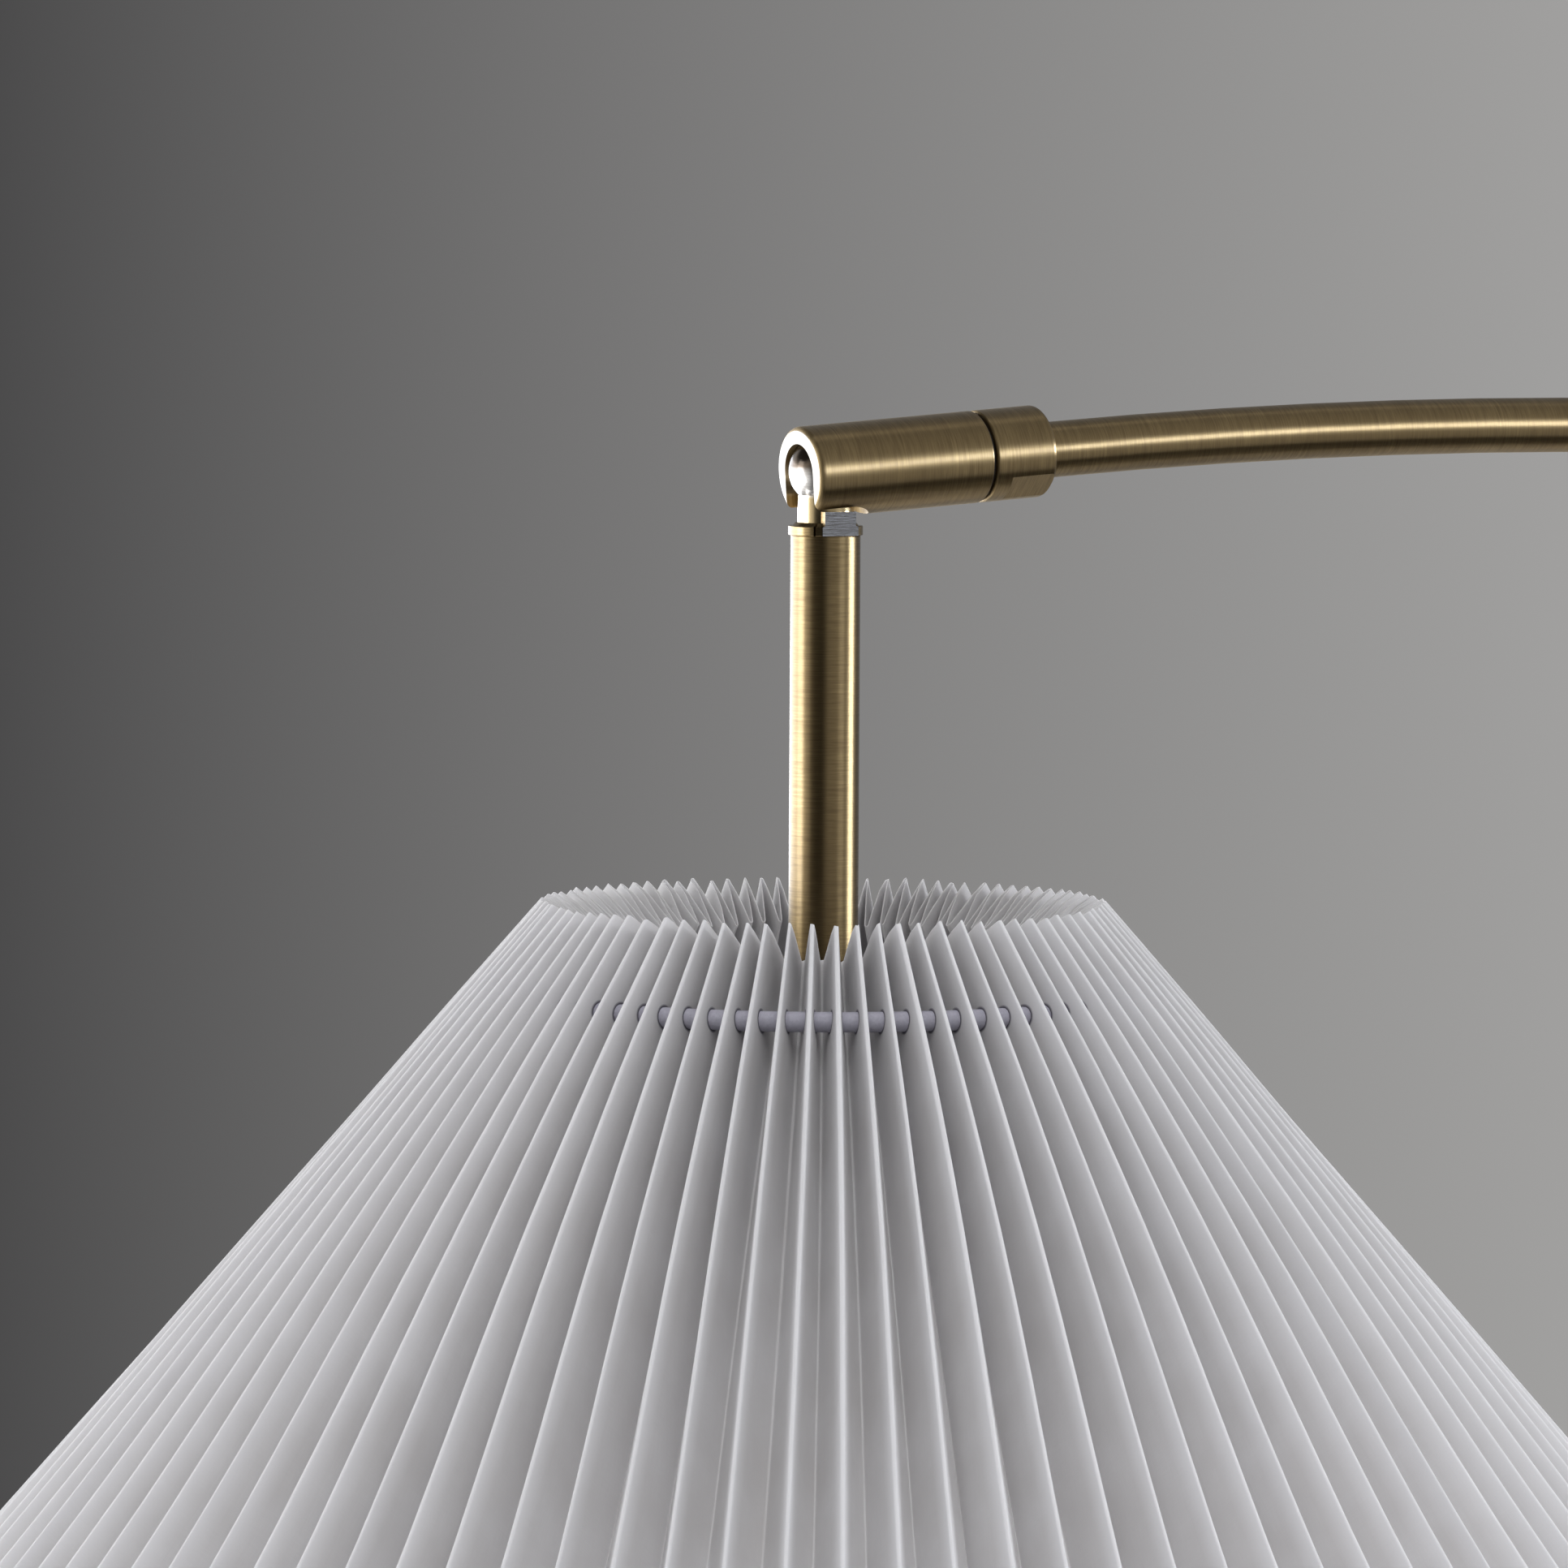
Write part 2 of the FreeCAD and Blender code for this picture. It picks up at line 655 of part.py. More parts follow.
def make_end_collar():
    """The collar on the arm's end, with two spanner flats low on its sides."""
    start = "housing_rear + groove"
    end = start + " + collar_length"
    blank = turned("collar_blank", [
        ("spindle_radius + 0.02", start),
        ("housing_radius", start),
        ("housing_radius", end),
        ("arm_radius + 0.04", end),
        ("arm_radius + 0.04", start + " + 7.8"),
        ("spindle_radius + 0.02", start + " + 7.8"),
    ], {1: "0.5", 2: "1.2"})
    cutters = []
    for number, side in enumerate((1, -1)):
        # The flat's normal leans from straight down (+X) towards one side.
        lean = side * (90 - size("flat_angle"))
        cutter = box(f"flat_box{number}",
                     (f"(housing_radius - flat_depth) * cos({lean} deg) + 8 * sin({lean} deg)",
                      f"(housing_radius - flat_depth) * sin({lean} deg) - 8 * cos({lean} deg)",
                      start + " + flat_start"),
                     ("6", "16", "collar_length"), FreeCAD.Rotation(Z_AXIS, lean))
        cutters.append(cutter)
    finished(cut("collar_solid", blank, *cutters), "end_collar", HEAD_PLACE)


def make_ball_stud():
    """A hollow ball with a fine-threaded neck, and the clip that keeps the tube on it."""
    ball = solid("Part::Sphere", "ball", Radius="ball_radius")
    neck = turned("neck_turned", [
        ("0", "-26.6"),
        ("neck_radius - 0.6", "-26.6"),
        ("neck_radius - 0.2", "-26.2"),
        ("neck_radius - 0.2", "-25.3"),
        ("neck_radius - 0.9", "-25.3"),
        ("neck_radius - 0.9", "-24.1"),
        ("neck_radius", "-24.1"),
        ("neck_radius", "-3"),
        ("0", "-3"),
    ])
    down_bore = cylinder("stud_bore", "2.8", "27", z="-27")
    back_bore = cylinder("stud_back_bore", "3", "12", turn=HEAD_PLACE.Rotation)
    stud = cut("stud_solid", fuse("stud_blank", ball, neck), down_bore, back_bore)
    finished(stud, "ball_stud", DROP_PLACE)

    clip = sleeve("clip_ring", "neck_radius + 0.4", "neck_radius - 0.85", "-25.2", "-24.2")
    finished(clip, "neck_clip", DROP_PLACE)


def make_stop_ring():
    """A split ring under the ball, with a flat on its side and a stop tab rising from it."""
    ring = turned("ring_blank", [
        ("neck_radius + 0.08", "-ring_drop - ring_height"),
        ("ring_radius", "-ring_drop - ring_height"),
        ("ring_radius", "-ring_drop"),
        ("neck_radius + 1.1", "-ring_drop"),
        ("neck_radius + 0.5", "-ring_drop + 0.7"),
        ("neck_radius + 0.08", "-ring_drop + 0.7"),
    ], {1: "0.2", 2: "0.25"})
    tab_blank = box("tab_blank", ("-tab_width / 2", "-ring_flat", "-ring_drop - ring_height"),
                    ("tab_width", "ring_flat", "ring_height + tab_height"))
    tab_bore = cylinder("tab_bore", "neck_radius + 0.08", "40", z="-30")
    tab = cut("tab_solid", tab_blank, tab_bore)
    side = box("ring_flat_cutter", ("-10", "-ring_flat - 5", "-20"), ("20", "5", "20"))
    slit = box("slit_cutter",
               ("-5 * cos(ring_slit_angle * 1 deg)", "-5 * sin(ring_slit_angle * 1 deg)", "-20"),
               ("6", "ring_slit", "20"), FreeCAD.Rotation(Z_AXIS, 180 + size("ring_slit_angle")))
    split = cut("ring_split", ring, side, slit)
    finished(fuse("ring_with_tab", split, tab), "stop_ring", DROP_PLACE)


def make_drop_tube():
    """The tube that hangs from the neck, and the bush in its top."""
    inner = "tube_radius - tube_wall"
    under_ring = "-ring_drop - ring_height"
    bush = sleeve("bush_turned", inner + " - 0.04", "neck_radius + 0.07", "-24", under_ring + " - 0.1")
    finished(bush, "tube_bush", DROP_PLACE)
    tube = sleeve("tube_turned", "tube_radius", inner, "-tube_end", under_ring, {2: "0.25"})
    finished(tube, "drop_tube", DROP_PLACE)


# ---------------------------------------------------------------- socket, switch and bulb


def make_socket():
    """Cap, insulating body, screw shell and contact, with a ring nut for the shade."""
    cap = turned("socket_cap_spun", [
        ("tube_radius + 0.04", "-112.5"),
        ("tube_radius + 0.04", "-106"),
        ("11", "-106"),
        ("11", "-109.5"),
        ("17", "-111.5"),
        ("22", "-116"),
        ("22", "-carrier_drop + 0.65"),
        ("20.8", "-carrier_drop + 0.65"),
        ("20.8", "-116.6"),
        ("16.6", "-112.7"),
        ("12", "-112.5"),
    ], {2: "1", 3: "2", 4: "4", 5: "2"})
    finished(cap, "socket_cap", DROP_PLACE)

    body = turned("socket_moulding", [
        ("3", "-119"),
        ("3", "-114"),
        ("15", "-114"),
        ("15", "-118.5"),
        ("socket_radius", "-118.5"),
        ("socket_radius", "-socket_end"),
        ("shell_radius + 0.6", "-socket_end"),
        ("shell_radius + 0.6", "-122.5"),
        ("3", "-122.5"),
    ], {5: "1"})
    stem_hole = cylinder("switch_stem_hole", "2.1", "10", x="shell_radius + 0.5",
                         z="-switch_drop", turn=ALONG_X)
    finished(cut("socket_drilled", body, stem_hole), "socket_body", DROP_PLACE)

    shell = turned("screw_shell_drawn", [
        ("5", "-123.2"),
        ("shell_radius", "-123.2"),
        ("shell_radius", "-socket_end + 1.5"),
        ("shell_radius - 0.5", "-socket_end + 1.5"),
        ("shell_radius - 0.5", "-123.7"),
        ("5", "-123.7"),
    ])
    finished(shell, "screw_shell", DROP_PLACE)
    contact = turned("contact_turned", [
        ("0", "-124.6"),
        ("2.4", "-124.6"),
        ("4.2", "-123.4"),
        ("4.2", "-122.6"),
        ("0", "-122.6"),
    ])
    finished(contact, "centre_contact", DROP_PLACE)

    nut = turned("ring_nut_turned", [
        ("socket_radius + 0.05", "-carrier_drop - 0.7"),
        ("socket_radius + 0.05", "-carrier_drop - 6.5"),
        ("socket_radius + 3.2", "-carrier_drop - 6.5"),
        ("socket_radius + 3.2", "-carrier_drop - 2.6"),
        ("socket_radius + 4.6", "-carrier_drop - 2.6"),
        ("socket_radius + 4.6", "-carrier_drop - 0.7"),
    ], {2: "0.6", 4: "0.5"})
    finished(nut, "socket_ring_nut", DROP_PLACE)


def make_switch():
    """A small turned knob on the side of the socket."""
    place = FreeCAD.Placement(BALL - Z_AXIS * size("switch_drop"), ALONG_X)
    stem = turned("switch_stem_turned", [
        ("0", "shell_radius + 1"),
        ("2", "shell_radius + 1"),
        ("2", "34"),
        ("0", "34"),
    ])
    finished(stem, "switch_stem", place)
    knob = turned("switch_knob_body", [
        ("2.04", "socket_radius + 1.2"),
        ("3.4", "socket_radius + 1.2"),
        ("3.4", "25"),
        ("6.2", "27.5"),
        ("6.2", "37.2"),
        ("5", "38.6"),
        ("0", "38.6"),
        ("0", "34.3"),
        ("2.04", "34.3"),
    ], {3: "1.5", 4: "0.6"})
    groove_circle = outline_circle(knob, "knurl_outline", "6.85", "0.95")
    pocket = knob.newObject("PartDesign::Pocket", "knurl")
    pocket.Profile = groove_circle
    pocket.Type = 1
    pocket.Midplane = True
    doc.recompute()
    pattern = knob.newObject("PartDesign::PolarPattern", "knurls")
    pattern.Originals = [pocket]
    pattern.Axis = (groove_circle, ["N_Axis"])
    pattern.Angle = 360
    pattern.Occurrences = 18
    knob.Tip = pattern
    finished(knob, "switch_knob", place)


def bulb_form(name, inset, end):
    """Globe, cone and neck of the bulb, all drawn in by the same inset."""
    shoulder = 40
    reach_out = f"(bulb_radius - {inset}) * cos({shoulder} deg)"
    cone_low = f"-bulb_centre + (bulb_radius - {inset}) * sin({shoulder} deg)"
    neck = f"bulb_neck - {inset}"
    cone_height = f"({reach_out} - {neck}) * cos({shoulder} deg) / sin({shoulder} deg)"
    globe = solid("Part::Sphere", name + "_globe", z="-bulb_centre",
                  Radius=f"bulb_radius - {inset}")
    cone = solid("Part::Cone", name + "_cone", z=cone_low, Radius1=reach_out, Radius2=neck,
                 Height=cone_height)
    stalk = cylinder(name + "_stalk", neck, f"bulb_centre - {end} - 10", z="-bulb_centre + 10")
    return fuse(name, globe, cone, stalk)


def make_bulb():
    """A hollow glass envelope on a screw base."""
    outside = bulb_form("bulb_outside", "0", "151")
    inside = bulb_form("bulb_inside", "1", "150")
    finished(cut("bulb_envelope", outside, inside), "bulb_glass", DROP_PLACE)

    corners = [("0", "-124.7"), ("4.6", "-124.7"), ("6", "-127.5"), ("10.5", "-129.5")]
    for turn in range(4):
        top = 131 + turn * 4
        corners.append(("bulb_base_radius - 0.6", f"-{top}"))
        corners.append(("bulb_base_radius", f"-{top + 2}"))
    corners += [("bulb_base_radius - 0.4", "-147"), ("bulb_base_radius", "-150.9"), ("0", "-150.9")]
    finished(turned("bulb_base_turned", corners), "bulb_base", DROP_PLACE)


# ---------------------------------------------------------------- shade


def make_carrier():
    """A wire ring that the folds rest on, three spokes and the plate on the socket."""
    ring = solid("Part::Torus", "carrier_ring", Radius1="carrier_radius", Radius2="carrier_wire")
    plate = sleeve("carrier_plate", "socket_radius + 5.4", "socket_radius + 0.25", "-0.6", "0.6")
    spokes = []
    count = int(size("spoke_count"))
    for number in range(count):
        azimuth = 30 + number * 360 / count
        spokes.append(cylinder(f"spoke{number}", "spoke_wire", "carrier_radius - socket_radius - 5",
                               x=f"(socket_radius + 5) * cos({azimuth} deg)",
                               y=f"(socket_radius + 5) * sin({azimuth} deg)",
                               turn=FreeCAD.Rotation(Z_AXIS, azimuth) * ALONG_X))
    carrier = fuse("carrier_solid", ring, plate, *spokes)
    centre = BALL - Z_AXIS * size("carrier_drop")
    finished(carrier, "shade_carrier", FreeCAD.Placement(centre, UPRIGHT))


def pleat_ring(slant, inset):
    """Fold points round the cone at one distance down its side.

    Mountain folds lie on the cone and valley folds one pleat depth inside it, square to the
    cone's side. The depth is the side of a right triangle whose other sides are half a pleat's
    pitch and the width of one panel, so every panel keeps its width from rim to hem.
    """
    tilt = math.radians(size("shade_half_angle"))
    count = int(size("pleat_count"))
    radius = size("rim_radius") + slant * math.sin(tilt)
    half_pitch = math.pi * radius / count
    depth = math.sqrt(size("pleat_width") ** 2 - half_pitch ** 2)
    wall_step = inset * size("pleat_width") / half_pitch
    points = []
    for fold in range(2 * count):
        inward = wall_step + depth * (fold % 2)
        out = radius - inward * math.cos(tilt)
        height = -size("rim_drop") - slant * math.cos(tilt) - inward * math.sin(tilt)
        angle = math.pi * fold / count
        points.append(V(out * math.cos(angle), out * math.sin(angle), height))
    return points


def skin(first, second, turned_over=False):
    """Two triangles for each stretch between two closed rows of points.

    Turned over, the same triangles face the other way. The panels twist a little, so both
    sides of the wall are split along the same diagonals, or the sides would cross.
    """
    faces = []
    count = len(first)
    for k in range(count):
        a, b = first[k], first[(k + 1) % count]
        c, d = second[(k + 1) % count], second[k]
        for corners in ([a, b, c], [a, c, d]):
            if turned_over:
                corners.reverse()
            faces.append(Part.Face(Part.makePolygon(corners + corners[:1])))
    return faces


def make_shade():
    """Knife pleats between mountain and valley folds, as one closed thin wall."""
    slant = size("shade_height") / math.cos(math.radians(size("shade_half_angle")))
    top = pleat_ring(0, 0)
    bottom = pleat_ring(slant, 0)
    inner_top = pleat_ring(0, size("pleat_wall"))
    inner_bottom = pleat_ring(slant, size("pleat_wall"))
    faces = skin(top, bottom) + skin(inner_top, inner_bottom, turned_over=True)
    faces += skin(inner_top, top) + skin(bottom, inner_bottom)
    wall = Part.Solid(Part.Shell(faces))
    if wall.Volume < 0:
        wall.reverse()
    shade = doc.addObject("Part::Feature", "shade_folded")
    shade.Shape = wall
    finished(shade, "shade_pleats", DROP_PLACE)


# ---------------------------------------------------------------- build and export


make_base()
make_pole()
make_swivel()
make_knuckle()
make_arm()
make_housing()
make_housing_inside()
make_end_collar()
make_ball_stud()
make_stop_ring()
make_drop_tube()
make_socket()
make_switch()
make_bulb()
make_carrier()
make_shade()
doc.recompute()

for obj in doc.Objects:
    if "Invalid" in obj.State or "Error" in obj.State:
        raise SystemExit(f"{obj.Label} ({obj.Name}) failed: {obj.State}")
for piece in pieces:
    if piece.Shape.isNull() or not piece.Shape.isValid():
        raise SystemExit(f"{piece.Label} has no valid shape")

os.makedirs("parts", exist_ok=True)
for piece in pieces:
    piece.Shape.exportStep(f"parts/{piece.Label}.step")
print(f"{len(pieces)} pieces, ball at {BALL.x:.1f}, {BALL.z:.2f}")
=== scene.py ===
# %% [markdown]
# # A bridge floor lamp with a pleated shade
# A bridge lamp carries its shade on an arm that reaches out over a chair. This lesson dresses
# the lamp's solids, which come ready made from the CAD files, in metal and cloth, and lights
# them as a photographer would. The solids keep their sizes, and only what a solid can't show,
# such as cloth with rounded folds, is made anew here.

import json
import math

import bpy
import numpy as np
from mathutils import Matrix, Vector

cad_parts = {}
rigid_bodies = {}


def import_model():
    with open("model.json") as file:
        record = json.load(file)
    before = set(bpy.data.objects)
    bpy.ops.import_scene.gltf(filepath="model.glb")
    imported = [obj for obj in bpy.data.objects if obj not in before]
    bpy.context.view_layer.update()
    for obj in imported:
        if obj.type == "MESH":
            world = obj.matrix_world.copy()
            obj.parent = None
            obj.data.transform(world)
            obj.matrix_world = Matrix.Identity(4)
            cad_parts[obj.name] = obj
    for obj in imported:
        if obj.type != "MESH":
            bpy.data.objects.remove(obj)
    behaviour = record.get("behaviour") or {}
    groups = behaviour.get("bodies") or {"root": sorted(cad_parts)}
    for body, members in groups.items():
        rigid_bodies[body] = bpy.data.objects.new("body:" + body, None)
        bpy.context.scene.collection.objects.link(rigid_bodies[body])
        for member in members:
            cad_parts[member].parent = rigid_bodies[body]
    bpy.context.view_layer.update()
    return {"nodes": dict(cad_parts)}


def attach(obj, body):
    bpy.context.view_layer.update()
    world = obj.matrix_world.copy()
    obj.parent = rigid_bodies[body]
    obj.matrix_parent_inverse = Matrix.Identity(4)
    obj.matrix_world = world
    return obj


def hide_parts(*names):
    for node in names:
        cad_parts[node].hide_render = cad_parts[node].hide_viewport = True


for leftover in list(bpy.data.objects):
    bpy.data.objects.remove(leftover)
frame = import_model()
nodes = frame["nodes"]

# %% [markdown]
# ## The camera
# The picture is a close view of the lamp's head, taken with a long lens. A long lens keeps
# upright lines almost parallel. The camera is placed by its angle round the lamp and its angle
# above the level, measured from the ball joint, because those are what can be read in a
# picture. A small roll stands for a camera that wasn't quite level.

# %% Place the camera
BALL = Vector((-0.5, 0.0, 1.41436))
AZIMUTH, ELEVATION, ROLL = (math.radians(a) for a in (-28.3162, 4.0334, 0.3203))
DISTANCE, LENS, SENSOR = 2.25, 226.88, 36.0
AIM_RIGHT, AIM_UP = -0.0091312, -0.0713665


def direction(azimuth, elevation):
    """Unit vector from the lamp outwards. Azimuth 0 looks from -Y and 90 degrees from +X."""
    return Vector((math.sin(azimuth) * math.cos(elevation),
                   -math.cos(azimuth) * math.cos(elevation), math.sin(elevation)))


back = direction(AZIMUTH, ELEVATION)
right = Vector((math.cos(AZIMUTH), math.sin(AZIMUTH), 0.0))
up = back.cross(right)
rolled_right = right * math.cos(ROLL) + up * math.sin(ROLL)
rolled_up = up * math.cos(ROLL) - right * math.sin(ROLL)
eye = BALL + right * AIM_RIGHT + up * AIM_UP + back * DISTANCE
camera_data = bpy.data.cameras.new("camera")
camera_data.lens, camera_data.sensor_width = LENS, SENSOR
camera_data.clip_start, camera_data.clip_end = 0.05, 100.0
camera = bpy.data.objects.new("camera", camera_data)
camera.matrix_world = Matrix((rolled_right, rolled_up, back)).transposed().to_4x4()
camera.location = eye
bpy.context.scene.collection.objects.link(camera)
bpy.context.scene.camera = camera
print(f"camera at {tuple(round(c, 3) for c in eye)}")

# %% [markdown]
# ## Helpers for materials
# A material is a board of nodes wired together. Short helpers keep the boards readable: one
# starts a material and sets plain values on its shader, and one puts a node down and wires
# its inputs. The others put down what comes up again and again: a blend of two colours, a
# number moved to another range, a place on the piece, noise and a grey.

# %% Material helpers
def new_material(name, **plain):
    """A material, its node tree and its shader. Plain values go to sockets by their names."""
    material = bpy.data.materials.new(name)
    material.use_nodes = True
    shader = material.node_tree.nodes["Principled BSDF"]
    for socket, value in plain.items():
        shader.inputs[socket.replace("_", " ")].default_value = value
    return material, material.node_tree, shader


def put(tree, kind, inputs=(), **options):
    """Puts a node on the board. An input is a value, or the output of another node."""
    node = tree.nodes.new("ShaderNode" + kind)
    for option, value in options.items():
        setattr(node, option, value)
    for socket, value in dict(inputs).items():
        if isinstance(value, bpy.types.NodeSocket):
            tree.links.new(value, node.inputs[socket])
        else:
            node.inputs[socket].default_value = value
    return node


def blend(tree, factor, dark, light):
    """Colour that goes from dark to light as the factor goes from 0 to 1."""
    return put(tree, "Mix", {0: factor, 6: dark, 7: light}, data_type="RGBA").outputs[2]


def spread(tree, value, low, high, new_low, new_high):
    """Moves a number from one range to another, and keeps it inside the new one."""
    return put(tree, "MapRange", {0: value, 1: low, 2: high, 3: new_low, 4: new_high}).outputs[0]


def place_on(tree, centre=(0, 0, 0), turn=(0, 0, 0), stretch=(1, 1, 1)):
    """Object coordinates, moved to a centre, turned with the piece and stretched."""
    spot = put(tree, "TexCoord").outputs["Object"]
    return put(tree, "Mapping", {"Vector": spot, "Location": centre, "Rotation": turn,
                                 "Scale": stretch}, vector_type="TEXTURE").outputs["Vector"]


def noise(tree, vector, scale, detail=2.0, roughness=0.5):
    """Cloudy numbers from 0 to 1, with `scale` clouds in a metre of the vector."""
    return put(tree, "TexNoise", {"Vector": vector, "Scale": scale, "Detail": detail,
                                  "Roughness": roughness}).outputs["Fac"]


def grey(level, alpha=1.0):
    return (level, level, level, alpha)


# %% [markdown]
# ## Antique brass
# The metal is brass that was darkened, brushed across its length and lacquered. Brushing
# leaves fine rings round every tube, a third of a millimetre wide and a few millimetres long.
# They could be one picture wrapped round each part, but noise that is stretched round the
# axis gives them at the right scale on every part. Scratches too fine to draw are left to the
# shader: on a straight tube it blurs each reflection along the tube, but hardly across it. A
# slower noise varies the brown of the patina.

# %% Antique brass
ARM_LEAN = math.radians(86)
ALONG_ARM = (0.0, ARM_LEAN, 0.0)
ALONG_Y = (math.radians(90), 0.0, 0.0)
UPRIGHT_AXIS = (0.02, 0.03, 1.0)
ARM_AXIS = (math.sin(ARM_LEAN), 0.0, math.cos(ARM_LEAN))
KNOB_CENTRE = (0, 0, 1.394)
RING_STEP, HALF_EDGE = 0.0004, 0.00004
BLUR_ALONG, BARE_SHINE = 0.92, 0.55


def antique_brass(name, centre=(0, 0, 0), turn=(0, 0, 0), spun=False, bare=None, axis=None):
    """Brushed brown brass. Rings are noise stretched round the local Z axis; on a spun piece
    the noise runs over the distance from the axis as well, so its rings go round flat faces.
    Where the local coordinate named in `bare` is below its limit, the metal is uncoloured.
    A piece with an axis blurs its reflections along it."""
    material, tree, shader = new_material(
        name, Metallic=1.0, Coat_Weight=0.25, Coat_Roughness=0.12, Coat_IOR=1.45)
    if spun:
        spot = place_on(tree, centre, turn)
        flat = put(tree, "VectorMath", {0: spot, 1: (1, 1, 0)}, operation="MULTIPLY").outputs[0]
        reach = put(tree, "VectorMath", {0: flat}, operation="LENGTH").outputs["Value"]
        round_about = put(tree, "VectorMath", {0: flat}, operation="NORMALIZE").outputs[0]
        height = put(tree, "SeparateXYZ", {0: spot}).outputs["Z"]
        step = put(tree, "Math", {0: reach, 1: height}, operation="ADD").outputs[0]
        step = put(tree, "Math", {0: step, 1: 1 / RING_STEP}, operation="MULTIPLY").outputs[0]
        lift = put(tree, "CombineXYZ", {"Z": step}).outputs[0]
        rings = put(tree, "VectorMath", {0: round_about, 1: lift}, operation="ADD").outputs[0]
    else:
        rings = place_on(tree, centre, turn, (0.007, 0.007, 0.00032))
    brushing = noise(tree, rings, 1.0, 2.0, 0.6)
    patina = noise(tree, place_on(tree), 45.0, 4.0, 0.6)
    tone = spread(tree, patina, 0.3, 0.7, 0.25, 0.75)
    brown = blend(tree, tone, (0.205, 0.142, 0.064, 1), (0.33, 0.245, 0.118, 1))
    streak = spread(tree, brushing, 0.25, 0.75, 0.0, 1.0)
    colour = blend(tree, streak, (0.17, 0.118, 0.055, 1), brown)
    if bare:
        letter, limit, tint = bare
        local = put(tree, "SeparateXYZ", {0: place_on(tree, tuple(BALL), turn)}).outputs[letter]
        cut = spread(tree, local, limit - HALF_EDGE, limit + HALF_EDGE, 1.0, 0.0)
        colour = blend(tree, cut, colour, tint)
    tree.links.new(colour, shader.inputs["Base Color"])
    dull, smooth, depth = (0.42, 0.34, 0.000014) if axis else (0.28, 0.17, 0.000045)
    shine = spread(tree, brushing, 0.25, 0.75, dull, smooth)
    if bare and axis:
        finer = spread(tree, cut, 0.0, 1.0, 1.0, BARE_SHINE)
        shine = put(tree, "Math", {0: shine, 1: finer}, operation="MULTIPLY").outputs[0]
    tree.links.new(shine, shader.inputs["Roughness"])
    bump = put(tree, "Bump", {"Height": brushing, "Strength": 1.0, "Distance": depth})
    tree.links.new(bump.outputs[0], shader.inputs["Normal"])
    if axis:
        shader.inputs["Anisotropic"].default_value = BLUR_ALONG
        if bare:
            tree.links.new(spread(tree, cut, 0.0, 1.0, BLUR_ALONG, 0.0),
                           shader.inputs["Anisotropic"])
        lengthwise = put(tree, "VectorTransform", {0: axis}, vector_type="VECTOR",
                         convert_from="OBJECT", convert_to="WORLD")
        tree.links.new(lengthwise.outputs[0], shader.inputs["Tangent"])
    return material


brass_upright = antique_brass("antique_brass_upright", axis=UPRIGHT_AXIS)
brass_arm = antique_brass("antique_brass_arm", turn=ALONG_ARM, axis=ARM_AXIS)
brass_spun = antique_brass("antique_brass_spun", spun=True)
brass_knob = antique_brass("antique_brass_knob", KNOB_CENTRE, ALONG_Y, spun=True)
brass_socket = antique_brass("antique_brass_socket", tuple(BALL), spun=True)
END_FACE = ("Z", -0.00690, (0.230, 0.214, 0.184, 1))
STOP_TAB = ("Y", -0.00712, (0.09, 0.087, 0.084, 1))
brass_housing = antique_brass("antique_brass_housing", turn=ALONG_ARM, axis=ARM_AXIS,
                              bare=END_FACE)
brass_ring = antique_brass("antique_brass_ring", bare=STOP_TAB)
print("brass for upright, level and turned pieces")

# %% [markdown]
# ## Bright metals
# The ball is plated and polished, with faint turned lines round it. Its upper half, which sits
# inside the housing, is darkened brown as painted shade, and its neck below has worn to pale
# brass. Hidden nuts and washers are plated steel, and the contacts of the socket are raw brass.
# All of them are one recipe with other numbers: turned lines as stretched noise, and a cloudy
# noise for handling marks.

# %% Bright metals
def bright_metal(name, dark, light, smooth, dull, centre=(0, 0, 0), turn=(0, 0, 0), lines=0.0003):
    """Polished or plated metal with faint turned lines and cloudy handling marks."""
    material, tree, shader = new_material(name, Metallic=1.0)
    turned = noise(tree, place_on(tree, centre, turn, (0.03, 0.03, lines)), 1.0, 3.0, 0.6)
    marks = noise(tree, place_on(tree), 160.0, 4.0, 0.6)
    tree.links.new(blend(tree, spread(tree, turned, 0.3, 0.7, 0, 1), dark, light),
                   shader.inputs["Base Color"])
    tree.links.new(spread(tree, marks, 0.3, 0.7, smooth, dull), shader.inputs["Roughness"])
    bump = put(tree, "Bump", {"Height": turned, "Strength": 1.0, "Distance": 0.000004})
    tree.links.new(bump.outputs[0], shader.inputs["Normal"])
    return material, tree, shader


steel = bright_metal("plated_steel", (0.36, 0.36, 0.35, 1), (0.52, 0.52, 0.50, 1), 0.28, 0.42)[0]
raw_brass = bright_metal("raw_brass", (0.50, 0.34, 0.14, 1), (0.68, 0.50, 0.23, 1), 0.22, 0.36)[0]
bulb_cap = bright_metal("bulb_cap", (0.50, 0.50, 0.49, 1), (0.66, 0.66, 0.65, 1), 0.24, 0.4)[0]
NECK_EDGE, PAINTED_SHADE_EDGE = (-0.0062, -0.0050), (-0.0016, 0.0012)
nickel, tree, shader = bright_metal("polished_nickel", (0.42, 0.40, 0.375, 1),
                                    (0.60, 0.58, 0.55, 1), 0.12, 0.24, lines=0.00022)
height = put(tree, "SeparateXYZ", {0: place_on(tree, tuple(BALL))}).outputs["Z"]
silver = shader.inputs["Base Color"].links[0].from_socket
worn = spread(tree, height, *NECK_EDGE, 0.0, 1.0)
# Painted shade: the ball's upper half, which sits inside the housing, is darkened brown.
painted_shade_mask = spread(tree, height, *PAINTED_SHADE_EDGE, 0.0, 1.0)
silver_with_painted_shade = blend(tree, painted_shade_mask, silver, (0.085, 0.065, 0.048, 1))
tree.links.new(blend(tree, worn, (0.34, 0.26, 0.14, 1), silver_with_painted_shade), shader.inputs["Base Color"])
print("steel, raw brass, bulb cap and the two finishes of the ball stud")

